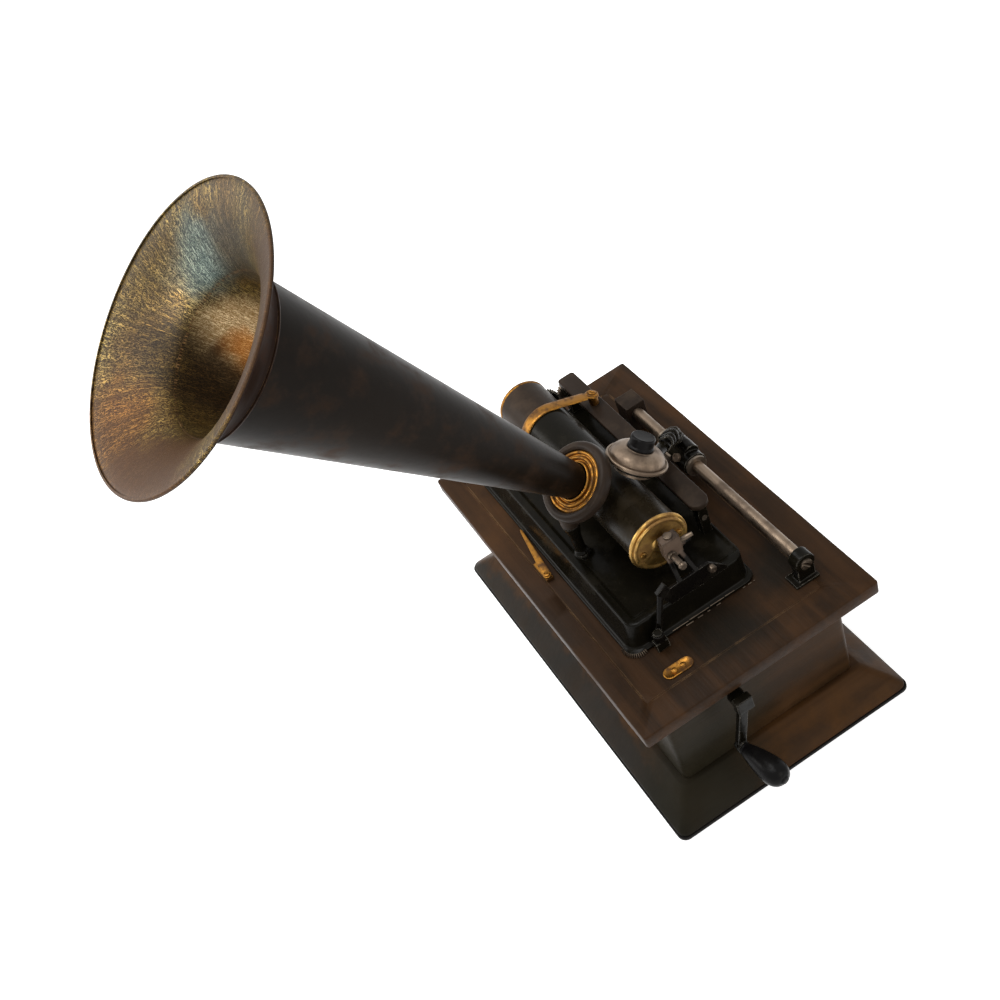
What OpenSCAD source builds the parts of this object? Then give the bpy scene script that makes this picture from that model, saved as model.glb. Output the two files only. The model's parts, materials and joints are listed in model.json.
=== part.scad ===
/* [Base and case] */
// Length of the base along the machine
base_l = 456; // [446:1:480]
// Width of the base
base_w = 271.6; // [262:0.2:290]
// Corner radius of the base
base_corner = 9; // [5:1:14]
// Height of the black strip that the base stands on
strip_h = 4; // [3:0.5:6]
// Width of that strip, seen from below
strip_w = 14; // [10:1:20]
// How far the strip stands out past the skirt
strip_out = 1.5; // [0.5:0.5:3]
// Height of the skirt's flat top above the floor
base_h = 31; // [26:1:40]
// Ledge between the case and the top of the slope, on the ends
ledge_l = 4.4; // [2:0.2:8]
// Ledge between the case and the top of the slope, on the sides
ledge_w = 6.4; // [2:0.2:10]
// Length of the case
case_l = 383.2; // [375:0.2:392]
// Width of the case
case_w = 199.8; // [196:0.2:204]
// Wall thickness of the case
case_wall = 9; // [6:0.5:10]
// Corner radius of the case
case_corner = 6; // [3:0.5:9]
// Height of the case walls
case_h = 119.9; // [118:0.1:130]
// Side of the square corner blocks inside the case
block_side = 14; // [10:1:18]
// Length of the deck board
deck_l = 429; // [424:1:433]
// Width of the deck board
deck_w = 254; // [244:1:268]
// Thickness of the deck board
deck_t = 15.4; // [12:0.2:18]
// Corner radius of the deck board
deck_corner = 3; // [1:0.5:6]

/* [Bedplate] */
// Crank end of the bedplate's foot
pan_end = 139; // [136:1:142]
// Length of the bedplate's foot
pan_l = 312; // [308:1:318]
// Front edge of the foot, on the horn side
pan_front = -90; // [-92:0.5:-88]
// Width of the foot
pan_w = 142; // [138:1:146]
// Thickness of the foot's flange
pan_foot = 4; // [3:0.5:5]
// Height of the bedplate's top
pan_h = 30; // [28:1:32]
// Corner radius of the bedplate
pan_corner = 12; // [8:1:16]
// Slope of the front side
pan_slope_front = 11.3; // [9:0.1:13]
// Slope of the back side
pan_slope_back = 2.5; // [2:0.1:4]
// Slope of the two ends
pan_slope_end = 9; // [8:0.5:10]
// Wall thickness of the casting
pan_wall = 6; // [5:0.5:7]
// Depth of the sunk panel in the bedplate's top
panel_depth = 1.5; // [1:0.1:2]
// Rim round the sunk panel
panel_rim = 8.7; // [7:0.1:10]
// Rim at the back of the sunk panel
panel_rim_back = 2.5; // [2:0.1:3]

/* [Mandrel and cylinder] */
// Mandrel axis, measured from the middle of the machine
mandrel_y = -13.6; // [-14.6:0.1:-12.6]
// Height of the mandrel axis above the deck
mandrel_h = 73; // [72:0.5:75]
// Radius of the black tube
tube_r = 27.8; // [27:0.1:28.5]
// Crank end of the cylinder record
record_end = 95; // [93:0.5:96]
// Length of the cylinder record
record_l = 108; // [104:1:112]
// Radius of the cylinder record, 55.6 mm across
record_r = 27.8; // [27:0.1:28.5]
// Bore radius of the record at its wide end
record_bore = 23.6; // [23:0.1:24]
// How much the bore's radius narrows along the record
record_taper = 1.2; // [0.8:0.1:1.6]
// Wall thickness of the mandrel
mandrel_wall = 3; // [2:0.5:4]
// Radius of the mandrel's shaft
shaft_r = 5; // [4.5:0.1:5.5]
// Length of the fixed rear housing
housing_l = 46; // [44:1:48]
// Far end of the rear housing
housing_x = -158; // [-159:1:-157]
// Thickness of the brass rear cap
cap_t = 4; // [3:0.5:5]
// Radius of the brass end disc's flange
disc_r = 30.5; // [29.5:0.1:31.5]
// Radius of the end disc's face
disc_face_r = 28.2; // [27:0.1:29]
// Thickness of the end disc
disc_t = 7; // [6:0.5:8]
// Radius of the belt groove on the mandrel
mandrel_pulley_r = 16; // [15:0.5:17]

/* [Strap and straight edge] */
// Width of the brass strap
strap_w = 13; // [12:0.5:14]
// Thickness of the brass strap
strap_t = 2; // [1.5:0.1:2.5]
// Middle of the strap along the machine
strap_x = -105; // [-106:0.5:-104]
// Radius of the strap's eye
eye_r = 5.5; // [5:0.1:6]
// Length of the straight edge between its round ends
edge_l = 255; // [250:1:258]
// Crank end of the straight edge
edge_end = 89; // [87:0.5:91]
// Middle of the straight edge across the machine
edge_y = 41; // [40:0.5:42]
// Width of the straight edge
edge_w = 20; // [18:0.5:21]
// Height of the straight edge's top above the deck
edge_h = 72; // [71:0.5:73]
// Thickness of the straight edge
edge_t = 6; // [5:0.5:7]
// Height of the feed screw above the deck
feed_h = 50; // [49:0.5:51]
// Radius of the feed screw
feed_r = 4; // [3.5:0.1:4.2]

/* [Guide rod and carriage] */
// Guide rod's place across the machine
rod_y = 84; // [83:0.5:85]
// Height of the guide rod above the deck
rod_h = 24; // [23.5:0.5:25]
// Radius of the guide rod
rod_r = 6.4; // [6:0.1:6.8]
// Far end of the guide rod
rod_far = -124; // [-126:0.5:-122]
// Crank end of the guide rod
rod_near = 168; // [166:0.5:169]
// Size of the rear rod block along the machine
rod_block_l = 24.5; // [22:0.5:26]
// Size of the rear rod block across the machine
rod_block_w = 22.5; // [20:0.5:24]
// Height of the rear rod block
rod_block_h = 36; // [34:0.5:38]
// Radius of the front rod post's head
post_head_r = 10.5; // [10:0.1:11]
// Length of the front rod post's head along the rod
post_head_l = 12; // [10:0.5:13]
// Radius of the carriage hub
hub_r = 13; // [12.5:0.1:13.5]
// Length of the carriage hub
hub_l = 50; // [46:1:52]
// Far end of the carriage hub
hub_x = -50; // [-52:1:-48]

/* [Sound box] */
// Distance from the mandrel axis to the sound box's flange
box_reach = 48.4; // [48:0.1:50]
// Lean of the sound box away from the horn
box_lean = 33.8; // [33:0.1:35]
// Place of the sound box along the machine
box_x = 36; // [35.5:0.5:38]
// Radius of the sound box's flange
box_r = 29.6; // [29:0.1:29.8]
// Thickness of the flange
box_flange = 4; // [3:0.5:5]
// Height of the dome above the flange
box_dome = 9.5; // [8:0.5:11]
// Radius of the round body under the flange
box_body_r = 19; // [18:0.5:19.5]
// Depth of the body under the flange
box_body_h = 9; // [8:0.5:10]
// Radius of the black knob
knob_r = 12.5; // [11.5:0.1:13.5]
// Height of the black knob
knob_h = 12; // [11:0.5:14]

/* [Horn and collar] */
// Place of the horn's collar along the machine
collar_x = 22.6; // [22:0.1:23]
// Distance from the mandrel axis to the collar's front
collar_reach = 61.2; // [60.8:0.1:62]
// Lean of the horn toward the front
horn_lean = 33.6; // [33:0.1:35]
// Small turn of the horn toward the crank
horn_turn = 3.2; // [2:0.1:4]
// Outer radius of the collar ring
collar_r = 39; // [38:0.1:39.4]
// Depth of the collar ring
collar_t = 14; // [13:0.5:15]
// Outer radius of the brass bush
bush_r = 30; // [29:0.1:31]
// Radius of the horn's neck at the collar's front
neck_r = 16.9; // [16:0.1:17.4]
// Length of the cone in front of the collar
cone_l = 377; // [360:1:390]
// Radius of the cone's wide end
cone_r = 64.3; // [60:0.1:67]
// How far the neck reaches back into the bush
neck_in = 10; // [8:0.5:11]
// Wall thickness of the horn
horn_wall = 1.4; // [1:0.1:2]
// Radius of the bell's rim
bell_r = 118; // [112:0.5:124]
// Depth of the bell
bell_depth = 38; // [34:0.5:44]
// Radius of the rolled rim
rim_r = 1.8; // [1.6:0.1:2.6]
// Place of the collar post across the machine
horn_post_y = -64; // [-65:0.5:-63]
// Radius of the collar post's foot boss
post_boss_r = 8; // [7:0.1:8.5]

/* [End gate] */
// Hinge of the end gate along the machine
gate_x = 143.5; // [143.5:0.5:146]
// Hinge of the end gate across the machine
gate_y = -59.5; // [-61:0.5:-58]
// Radius of the gate's hinge pin
gate_pin_r = 3; // [2.5:0.1:3.2]
// Height of the gate's top edge above the deck
gate_h = 53; // [52:0.5:54]
// Thickness of the gate
gate_t = 3; // [2.5:0.1:3.5]
// Radius of the centre screw
centre_r = 3; // [2.6:0.1:3.4]

/* [Crank] */
// Place of the winding shaft across the machine
winding_y = -32; // [-33:0.5:-31]
// Height of the winding shaft above the floor
winding_z = 134; // [133:0.5:135]
// Radius of the winding shaft
winding_r = 5; // [4.5:0.1:5.5]
// Gap between the case's end and the crank arm
crank_out = 24.4; // [24:0.2:25.4]
// Thickness of the crank arm
crank_t = 6; // [5:0.5:7]
// Length of the crank arm between centres
crank_l = 58.7; // [56:0.1:62]
// Lean of the crank arm from straight down
crank_lean = 13.8; // [12:0.1:16]
// Width of the crank arm
crank_w = 9; // [8:0.5:11]
// Length of the grip
grip_l = 52; // [48:0.5:54]
// Widest radius of the grip
grip_r = 13; // [12:0.1:14]
// Turn of the grip away from the shaft's line
grip_yaw = 9.5; // [8:0.1:10]

/* [Small fittings] */
// Length of the start lever's brass blade
lever_l = 73; // [68:0.5:76]
// Width of the blade at its block
lever_w = 9; // [7:0.5:10]
// Length of the lever's block
lever_block_l = 28; // [26:0.5:30]
// Height of the lever's block above the deck
lever_block_h = 4; // [3:0.5:5]
// Length of the small brass plate
tag_l = 31; // [28:0.5:34]
// Width of the small brass plate
tag_w = 13; // [11:0.5:15]
// Thickness of the small brass plate
tag_t = 1.6; // [1.2:0.1:2.4]

/* [Motor] */
// Thickness of the motor's two plates
plate_t = 3; // [2.5:0.5:4]
// Inner face of the far motor plate
plate_far = -115; // [-116:0.5:-114]
// Distance between the two plates
plate_gap = 74; // [72:1:76]
// Depth of the motor plates under the deck
plate_h = 132; // [130:1:136]
// Outer radius of the spring barrel
barrel_r = 44; // [42:0.5:44.5]
// Radius of the barrel arbor
arbor_r = 4; // [3.5:0.1:4.5]
// Radius of the thin arbors
thin_r = 2.5; // [2:0.1:2.8]
// Teeth of the great wheel
great_teeth = 80; // [78:1:82]
// Teeth of each small pinion
pinion_teeth = 12; // [12:1:14]
// Radius of the belt groove on the motor
drive_pulley_r = 20; // [19:0.5:21]
// Thickness of the belt
belt_t = 1.6; // [1.2:0.1:2]
// Width of the belt
belt_w = 7; // [6:0.5:8]
// Turns of the mainspring
spring_turns = 6; // [4:1:7]

/* [Hidden] */
$fn = 64;

seat = 0.3;
running = 0.05;
deck_z = base_h + case_h + deck_t;
under_z = base_h + case_h;
axis_z = deck_z + mandrel_h;
crank_x = case_l / 2 + crank_out;
inner_l = case_l - 2 * case_wall;
inner_w = case_w - 2 * case_wall;

// Winding wheels and the motor's train: modules, teeth and centres
escutcheon_r = 9;
winding_teeth = 18;
winding_m = 1.5;
wheel_teeth = 64;
wind_x = plate_far + plate_gap - 16;
great_m = 1.2;
second_m = 1;
third_m = 0.8;
second_teeth = 48;
third_teeth = 48;
barrel_y = winding_y - 6;
wind_mesh = (winding_teeth + wheel_teeth) * winding_m / 2;
barrel_z = winding_z - sqrt(wind_mesh * wind_mesh - 36);
great_mesh = (great_teeth + pinion_teeth) * great_m / 2;
second_mesh = (second_teeth + pinion_teeth) * second_m / 2;
third_mesh = (third_teeth + pinion_teeth) * third_m / 2;
wind_angle = atan2(barrel_z - winding_z, barrel_y - winding_y);
inter_angle = 10;
drive_angle = 120;
governor_angle = 35;
inter_y = barrel_y + great_mesh * cos(inter_angle);
inter_z = barrel_z + great_mesh * sin(inter_angle);
drive_y = inter_y + second_mesh * cos(drive_angle);
drive_z = inter_z + second_mesh * sin(drive_angle);
gov_y = drive_y + third_mesh * cos(governor_angle);
gov_z = drive_z + third_mesh * sin(governor_angle);

// Places on the mandrel's line
housing_end = housing_x + housing_l;
record_far = record_end - record_l;
belt_x = (housing_x + housing_end) / 2;
belt_slot_w = belt_w + 7;
belt_slot_y0 = mandrel_y - 25;
belt_slot_l = 54;
housing_wall = 3;
pedestal_w = belt_slot_l + 8;
pedestal_drop = 20;
pulley_w = belt_w + 2;
centre_depth = 2.4;
centre_mouth = 3.2;

// Straight edge, feed screw and its gears
gear_x = housing_x - cap_t - 9;
gear_w = 5;
feed_gear_teeth = 26;
idler_teeth = 40;
feed_module = 1;
edge_z = deck_z + edge_h;
edge_far = edge_end - edge_l;
edge_round = 4;
bracket_x = [edge_far + 1, edge_end - 16];
bracket_w = 12;
bracket_t = 10;
rear_block_t = edge_w - 2;
feed_z = deck_z + feed_h;
journal_r = 3;
stud_r = 3;
// The idler's centre lies on equal circles about the mandrel and the feed screw
feed_mesh = (feed_gear_teeth + idler_teeth) * feed_module / 2;
feed_dy = edge_y - mandrel_y;
feed_dz = feed_z - axis_z;
feed_span = sqrt(feed_dy * feed_dy + feed_dz * feed_dz);
feed_sag = sqrt(feed_mesh * feed_mesh - feed_span * feed_span / 4);
idler_y = mandrel_y + feed_dy / 2 + feed_sag * feed_dz / feed_span;
idler_z = axis_z + feed_dz / 2 - feed_sag * feed_dy / feed_span;
idler_angle = atan2(idler_z - axis_z, idler_y - mandrel_y);
idler_phase = idler_angle + 180 + 180 / idler_teeth;
feed_angle = atan2(feed_z - idler_z, edge_y - idler_y);
// Where the idler's teeth stand as the feed gear sees them
feed_tooth = (feed_angle - idler_phase) * idler_teeth / feed_gear_teeth;

module round_box(l, w, h, r) {
  linear_extrude(h) round_rect(l, w, r);
}

module round_rect(l, w, r) {
  square([l - 2 * r, w], center = true);
  square([l, w - 2 * r], center = true);
  for (i = [-1, 1], j = [-1, 1])
    translate([i * (l / 2 - r), j * (w / 2 - r)])
      circle(r);
}

// Puts a child drawn along Z onto an axis along X through (x, y, z)
module along_x(x, y, z) {
  translate([x, y, z])
    rotate([90, 0, 90])
      children();
}

module rod_x(x, y, z, l, r) {
  along_x(x, y, z)
    cylinder(h = l, r = r);
}

// Spur gear with straight flanks; one tooth lies at angle phase
module gear(teeth, m, w, phase) {
  r = teeth * m / 2;
  pitch = 360 / teeth;
  tip = r + 0.8 * m;
  root = r - 1.1 * m;
  linear_extrude(w)
    polygon([for (i = [0 : teeth - 1], c = [[root, -0.31], [tip, -0.1], [tip, 0.1], [root, 0.31]])
      c[0] * [cos(phase + (i + c[1]) * pitch), sin(phase + (i + c[1]) * pitch)]]);
}

// Base and case

module base_skirt() {
  color([0.20, 0.17, 0.14])
    difference() {
      hull() {
        translate([0, 0, strip_h])
          round_box(base_l - 2 * strip_out, base_w - 2 * strip_out, 3, base_corner, $fn = 32);
        translate([0, 0, base_h - 1])
          round_box(case_l + 2 * ledge_l, case_w + 2 * ledge_w, 1, case_corner, $fn = 32);
      }
      translate([-inner_l / 2, -inner_w / 2, strip_h - 1])
        cube([inner_l, inner_w, base_h]);
    }
}

module base_strip() {
  color([0.05, 0.05, 0.05])
    difference() {
      round_box(base_l, base_w, strip_h, base_corner);
      translate([-base_l / 2 + strip_w, -base_w / 2 + strip_w, -1])
        cube([base_l - 2 * strip_w, base_w - 2 * strip_w, strip_h + 2]);
    }
}

module bottom_board() {
  l = base_l - 2 * strip_w - 2 * seat;
  w = base_w - 2 * strip_w - 2 * seat;
  color([0.35, 0.25, 0.16])
    translate([-l / 2, -w / 2, 0])
      cube([l, w, strip_h]);
}

module case_walls() {
  color([0.24, 0.17, 0.11])
    difference() {
      translate([0, 0, base_h])
        round_box(case_l, case_w, case_h, case_corner);
      translate([-inner_l / 2, -inner_w / 2, base_h - 1])
        cube([inner_l, inner_w, case_h + 2]);
      rod_x(case_l / 2 - case_wall - 1, winding_y, winding_z, case_wall + 2, escutcheon_r + running);
    }
}

module corner_blocks() {
  color([0.45, 0.33, 0.2])
    for (i = [-1, 1], j = [-1, 1])
      translate([i * (inner_l - block_side) / 2 - block_side / 2,
                 j * (inner_w - block_side) / 2 - block_side / 2, base_h])
        cube([block_side, block_side, case_h]);
}

deck_slot_y0 = drive_y - drive_pulley_r - 8;
deck_slot_l = 2 * drive_pulley_r + 16;
scribe_w = 1;
scribe_depth = 0.6;
scribe_x = 185.5;
scribe_y0 = -105;
scribe_y1 = 87;

module deck_board() {
  scribe_l = 2 * scribe_x;
  color([0.17, 0.12, 0.08])
    difference() {
      translate([0, 0, under_z])
        round_box(deck_l, deck_w, deck_t, deck_corner);
      translate([belt_x - belt_slot_w / 2, deck_slot_y0, under_z - 1])
        cube([belt_slot_w, deck_slot_l, deck_t + 2]);
      translate([0, 0, deck_z - scribe_depth])
        linear_extrude(scribe_depth + 1)
          difference() {
            translate([-scribe_x, scribe_y0])
              square([scribe_l, scribe_y1 - scribe_y0]);
            translate([-scribe_x + scribe_w, scribe_y0 + scribe_w])
              square([scribe_l - 2 * scribe_w, scribe_y1 - scribe_y0 - 2 * scribe_w]);
          }
    }
}

// Bedplate

pan_mid_x = pan_end - pan_l / 2;
pan_mid_y = pan_front + pan_w / 2;
pan_top_l = pan_l - 2 * pan_slope_end;
pan_top_w = pan_w - pan_slope_front - pan_slope_back;
pan_top_y = pan_mid_y + (pan_slope_front - pan_slope_back) / 2;
pan_top_z = deck_z + pan_h;
pan_floor_z = pan_top_z - panel_depth;
post_pin_r = 4;

module bedplate_casting() {
  top_x0 = pan_mid_x - pan_top_l / 2;
  top_y0 = pan_top_y - pan_top_w / 2;
  difference() {
    union() {
      translate([pan_mid_x, pan_mid_y, deck_z])
        round_box(pan_l, pan_w, pan_foot, pan_corner);
      hull() {
        translate([pan_mid_x, pan_mid_y, deck_z + pan_foot - 1])
          round_box(pan_l - 8, pan_w - 8, 1, pan_corner, $fn = 32);
        translate([pan_mid_x, pan_top_y, pan_top_z - 2])
          round_box(pan_top_l, pan_top_w, 2, pan_corner, $fn = 32);
      }
    }
    translate([top_x0 + panel_rim, top_y0 + panel_rim, pan_floor_z])
      cube([pan_top_l - 2 * panel_rim, pan_top_w - panel_rim - panel_rim_back, 5]);
    translate([top_x0 + pan_wall, top_y0 + pan_wall, deck_z - 1])
      cube([pan_top_l - 2 * pan_wall, pan_top_w - 2 * pan_wall, pan_h - pan_wall]);
  }
  translate([collar_x, horn_post_y, pan_floor_z - 1])
    cylinder(h = panel_depth + 1, r = post_boss_r);
}

module bedplate() {
  color([0.07, 0.07, 0.07])
    difference() {
      bedplate_casting();
      translate([belt_x - belt_slot_w / 2, belt_slot_y0, deck_z])
        cube([belt_slot_w, belt_slot_l, pan_h + 1]);
      translate([collar_x, horn_post_y, deck_z])
        cylinder(h = pan_h + 1, r = post_pin_r + running);
    }
}

// Mandrel, record and drive on the mandrel's line

module housing_body() {
  rod_x(housing_x, mandrel_y, axis_z, housing_l, tube_r);
  translate([housing_x + 4, belt_slot_y0 - 4, pan_floor_z])
    cube([housing_l - 8, pedestal_w, axis_z - pan_floor_z - pedestal_drop]);
}

idler_stud_r = 2.5;
idler_boss_l = 6;
idler_boss_r = 8.5;
idler_leg_w = 14;

module rear_housing() {
  color([0.06, 0.06, 0.06])
    difference() {
      union() {
        housing_body();
        translate([housing_x + 4, idler_y - idler_leg_w / 2, pan_floor_z])
          cube([housing_l / 3, idler_leg_w, idler_z - pan_floor_z]);
        rod_x(housing_x, idler_y, idler_z, idler_boss_l, idler_boss_r);
        rod_x(gear_x - 1, idler_y, idler_z, housing_x - gear_x + 2, idler_stud_r);
      }
      rod_x(housing_x - 1, mandrel_y, axis_z, housing_l - housing_wall + 1, tube_r - housing_wall);
      rod_x(housing_end - housing_wall - 1, mandrel_y, axis_z, housing_wall + 2, shaft_r + running);
      translate([belt_x - belt_slot_w / 2, belt_slot_y0, pan_floor_z - 1])
        cube([belt_slot_w, belt_slot_l, axis_z - pan_floor_z]);
    }
}

module rear_cap() {
  color([0.75, 0.55, 0.25])
    along_x(housing_x - cap_t, mandrel_y, axis_z)
      difference() {
        union() {
          cylinder(h = cap_t, r = tube_r + seat);
          cylinder(h = cap_t + 3, r = tube_r - housing_wall - seat);
        }
        translate([0, 0, -1])
          cylinder(h = cap_t + 5, r = shaft_r + running);
      }
}

// Radius of the mandrel's tapered seat at a distance from the record's far end
function seat_r(d) = record_bore - seat - record_taper * d / record_l;

module mandrel() {
  x0 = housing_end + seat;
  drum_l = record_far - seat - x0;
  core_l = record_l + seat;
  web = 3;
  color([0.07, 0.07, 0.07])
    along_x(x0, mandrel_y, axis_z)
      rotate_extrude($fn = 96)
        polygon([
          [shaft_r + seat / 10, 0], [tube_r, 0], [tube_r, drum_l],
          [seat_r(0), drum_l], [seat_r(record_l), drum_l + core_l - seat],
          [shaft_r + seat / 10, drum_l + core_l - seat], [shaft_r + seat / 10, drum_l + core_l - web],
          [seat_r(record_l) - mandrel_wall, drum_l + core_l - web],
          [seat_r(0) - mandrel_wall, drum_l + web],
          [seat_r(0) - mandrel_wall, drum_l - web],
          [tube_r - mandrel_wall, drum_l - web], [tube_r - mandrel_wall, web],
          [shaft_r + seat / 10, web]]);
}

module mandrel_shaft() {
  color([0.6, 0.6, 0.6]) {
    rod_x(gear_x, mandrel_y, axis_z, record_end + 4 - gear_x, shaft_r);
    along_x(gear_x, mandrel_y, axis_z)
      gear(feed_gear_teeth, feed_module, gear_w, idler_angle);
  }
}

module groove_pulley(w, groove_r, bore) {
  rotate_extrude()
    polygon([
      [bore, 0], [groove_r + 2, 0], [groove_r + 2, 0.8], [groove_r, 0.8],
      [groove_r, w - 0.8], [groove_r + 2, w - 0.8], [groove_r + 2, w], [bore, w]]);
}

module mandrel_pulley() {
  color([0.5, 0.5, 0.48])
    along_x(belt_x - pulley_w / 2, mandrel_y, axis_z)
      groove_pulley(pulley_w, mandrel_pulley_r, shaft_r + running);
}

module record_cylinder() {
  color([0.12, 0.11, 0.10])
    along_x(record_far, mandrel_y, axis_z)
      rotate_extrude($fn = 96)
        polygon([[record_bore, 0], [record_r, 0], [record_r, record_l], [record_bore - record_taper, record_l]]);
}

disc_screw_r = 2.2;
disc_screw_place = 19.3;

module end_disc() {
  color([0.8, 0.6, 0.28])
    along_x(record_end, mandrel_y, axis_z)
      difference() {
        rotate_extrude($fn = 96)
          polygon([
            [0, 0], [disc_r - 0.6, 0], [disc_r, 0.6], [disc_r, disc_t * 0.5], [disc_r - 0.6, disc_t * 0.5 + 0.4],
            [disc_face_r - 1.2, disc_t * 0.5 + 0.4], [disc_face_r - 1.2, disc_t * 0.6],
            [disc_face_r, disc_t * 0.6 + 0.4], [disc_face_r, disc_t - 0.6], [disc_face_r - 0.6, disc_t],
            [centre_mouth, disc_t], [0, disc_t - centre_depth]]);
        translate([0, 0, -1])
          cylinder(h = 5 + running, r = shaft_r + running);
        for (s = [-1, 1])
          translate([s * disc_screw_place, 0, -1])
            cylinder(h = disc_t + 2, r = disc_screw_r + running);
      }
}

module end_disc_screws() {
  color([0.55, 0.5, 0.4])
    for (s = [-1, 1])
      along_x(record_end, mandrel_y + s * disc_screw_place, axis_z)
        difference() {
          union() {
            cylinder(h = disc_t, r = disc_screw_r);
            translate([0, 0, disc_t])
              cylinder(h = 1.2, r = disc_screw_r + 1);
          }
          translate([-5, -0.4, disc_t + 0.6])
            cube([10, 0.8, 2]);
        }
}

// Strap over the rear of the tube, with its eye and screw

strap_drop = 20;
strap_clear = 0.3;
eye_y = edge_y + 1;
strap_in_r = tube_r + strap_clear;
// The strap's straight run leaves its round part at this angle from upright
strap_tangent = 90 - strap_drop;
strap_run = (eye_y - mandrel_y - (strap_in_r + strap_t) * cos(strap_tangent)) / cos(strap_drop);
eye_z = axis_z + (strap_in_r + strap_t) * sin(strap_tangent) - strap_run * sin(strap_drop) - strap_t / 2;
strap_front_angle = 220;

module sector(r, a0, a1) {
  steps = 8;
  polygon(concat([[0, 0]], [for (i = [0 : steps])
    let (a = a0 + (a1 - a0) * i / steps)
    2 * r * [cos(a), sin(a)]]));
}

module strap_body() {
  along_x(strap_x - strap_w / 2, mandrel_y, axis_z) {
    linear_extrude(strap_w)
      intersection() {
        difference() {
          circle(strap_in_r + strap_t, $fn = 96);
          circle(strap_in_r, $fn = 96);
        }
        sector(strap_in_r, strap_tangent, strap_front_angle);
      }
    rotate([0, 0, -strap_drop])
      translate([0, strap_in_r, 0])
        cube([strap_run, strap_t, strap_w]);
  }
  translate([strap_x, eye_y, eye_z - strap_t])
    cylinder(h = strap_t, r = strap_w / 2);
  translate([strap_x - strap_w / 2, mandrel_y - strap_in_r - strap_t, pan_floor_z])
    cube([strap_w, 4, axis_z - pan_floor_z - (strap_in_r + strap_t) * 0.55]);
}

module bearing_strap() {
  color([0.8, 0.6, 0.28])
    difference() {
      strap_body();
      translate([strap_x, eye_y, eye_z - 10])
        cylinder(h = 20, r = stud_r + running);
      translate([strap_x, eye_y, eye_z])
        cylinder(h = 20, r = eye_r + seat);
      translate([strap_x, eye_y, eye_z - strap_t - 10])
        cylinder(h = 10, r = strap_w / 2 + 1);
    }
}

module strap_screw() {
  head_h = 3;
  color([0.7, 0.52, 0.25]) {
    translate([strap_x, eye_y, deck_z + edge_h])
      cylinder(h = eye_z + head_h - deck_z - edge_h, r = stud_r);
    translate([strap_x, eye_y, deck_z + edge_h])
      cylinder(h = eye_z - strap_t - seat - deck_z - edge_h, r = stud_r + 2);
    translate([strap_x, eye_y, eye_z])
      difference() {
        cylinder(h = head_h, r = eye_r);
        translate([-0.6, -10, head_h - 1])
          cube([1.2, 20, 3]);
      }
  }
}

// Straight edge, its brackets and the feed screw under it

module straight_edge() {
  color([0.08, 0.08, 0.08])
    translate([0, 0, edge_z - edge_t])
      linear_extrude(edge_t) {
        translate([edge_far + edge_round, edge_y - edge_w / 2])
          square([edge_l - edge_w / 2 - edge_round, edge_w]);
        translate([edge_far, edge_y - edge_w / 2 + edge_round])
          square([edge_w, edge_w - 2 * edge_round]);
        for (s = [-1, 1])
          translate([edge_far + edge_round, edge_y + s * (edge_w / 2 - edge_round)])
            circle(edge_round);
        translate([edge_end - edge_w / 2, edge_y])
          circle(edge_w / 2);
      }
}

module edge_brackets() {
  color([0.08, 0.08, 0.08])
    for (x = bracket_x)
      let (
        rear = x == bracket_x[0],
        t = rear ? rear_block_t : bracket_t,
        z0 = rear ? pan_top_z : pan_floor_z
      )
        difference() {
          translate([x, edge_y - t / 2, z0])
            cube([bracket_w, t, edge_z - edge_t - z0]);
          rod_x(x - 1, edge_y, feed_z, bracket_w + 2, journal_r + running);
        }
}

module feed_screw() {
  x0 = bracket_x[0] + bracket_w + seat;
  x1 = bracket_x[1] - seat;
  color([0.6, 0.58, 0.55]) {
    rod_x(x0, edge_y, feed_z, x1 - x0, feed_r);
    rod_x(gear_x, edge_y, feed_z, bracket_x[1] + bracket_w - gear_x, journal_r);
    along_x(gear_x, edge_y, feed_z)
      gear(feed_gear_teeth, feed_module, gear_w, feed_angle + 180 + feed_tooth + 180 / feed_gear_teeth);
  }
}

module feed_idler() {
  color([0.2, 0.19, 0.18])
    along_x(gear_x, idler_y, idler_z)
      difference() {
        gear(idler_teeth, feed_module, gear_w, idler_phase);
        translate([0, 0, -1])
          cylinder(h = gear_w + 2, r = idler_stud_r + running);
      }
}

// Guide rod and its supports

rod_z = deck_z + rod_h;
rod_block_far = -131.5;

module rear_rod_block() {
  color([0.08, 0.08, 0.08])
    difference() {
      translate([rod_block_far, rod_y - rod_block_w / 2, deck_z])
        cube([rod_block_l, rod_block_w, rod_block_h]);
      rod_x(rod_far, rod_y, rod_z, rod_block_l + 20, rod_r + running);
    }
}

module guide_rod() {
  color([0.65, 0.62, 0.55])
    rod_x(rod_far, rod_y, rod_z, rod_near - rod_far, rod_r);
}

post_x = 160;
post_foot_t = 3;
post_body_w = 9;

module front_rod_post() {
  color([0.08, 0.08, 0.08])
    difference() {
      union() {
        rod_x(post_x, rod_y, rod_z, post_head_l, post_head_r);
        translate([post_x + 1, rod_y - post_body_w, deck_z])
          cube([post_head_l - 2, 2 * post_body_w, rod_h]);
        translate([post_x - 3, rod_y - post_head_r - 5, deck_z])
          cube([post_head_l + 6, 2 * post_head_r + 5, post_foot_t]);
      }
      rod_x(post_x - 1, rod_y, rod_z, rod_near - post_x + 1, rod_r + running);
      rod_x(rod_near - 1, rod_y, rod_z, post_head_l, 2.5 + running);
    }
}

module rod_screw() {
  color([0.6, 0.58, 0.52]) {
    rod_x(rod_near, rod_y, rod_z, post_x + post_head_l - rod_near, 2.5);
    along_x(post_x + post_head_l, rod_y, rod_z)
      difference() {
        cylinder(h = 2.5, r = 6);
        translate([-8, -0.7, 1.3])
          cube([16, 1.4, 3]);
      }
  }
}

// Carriage on the rod, and the arm that lifts

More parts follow.
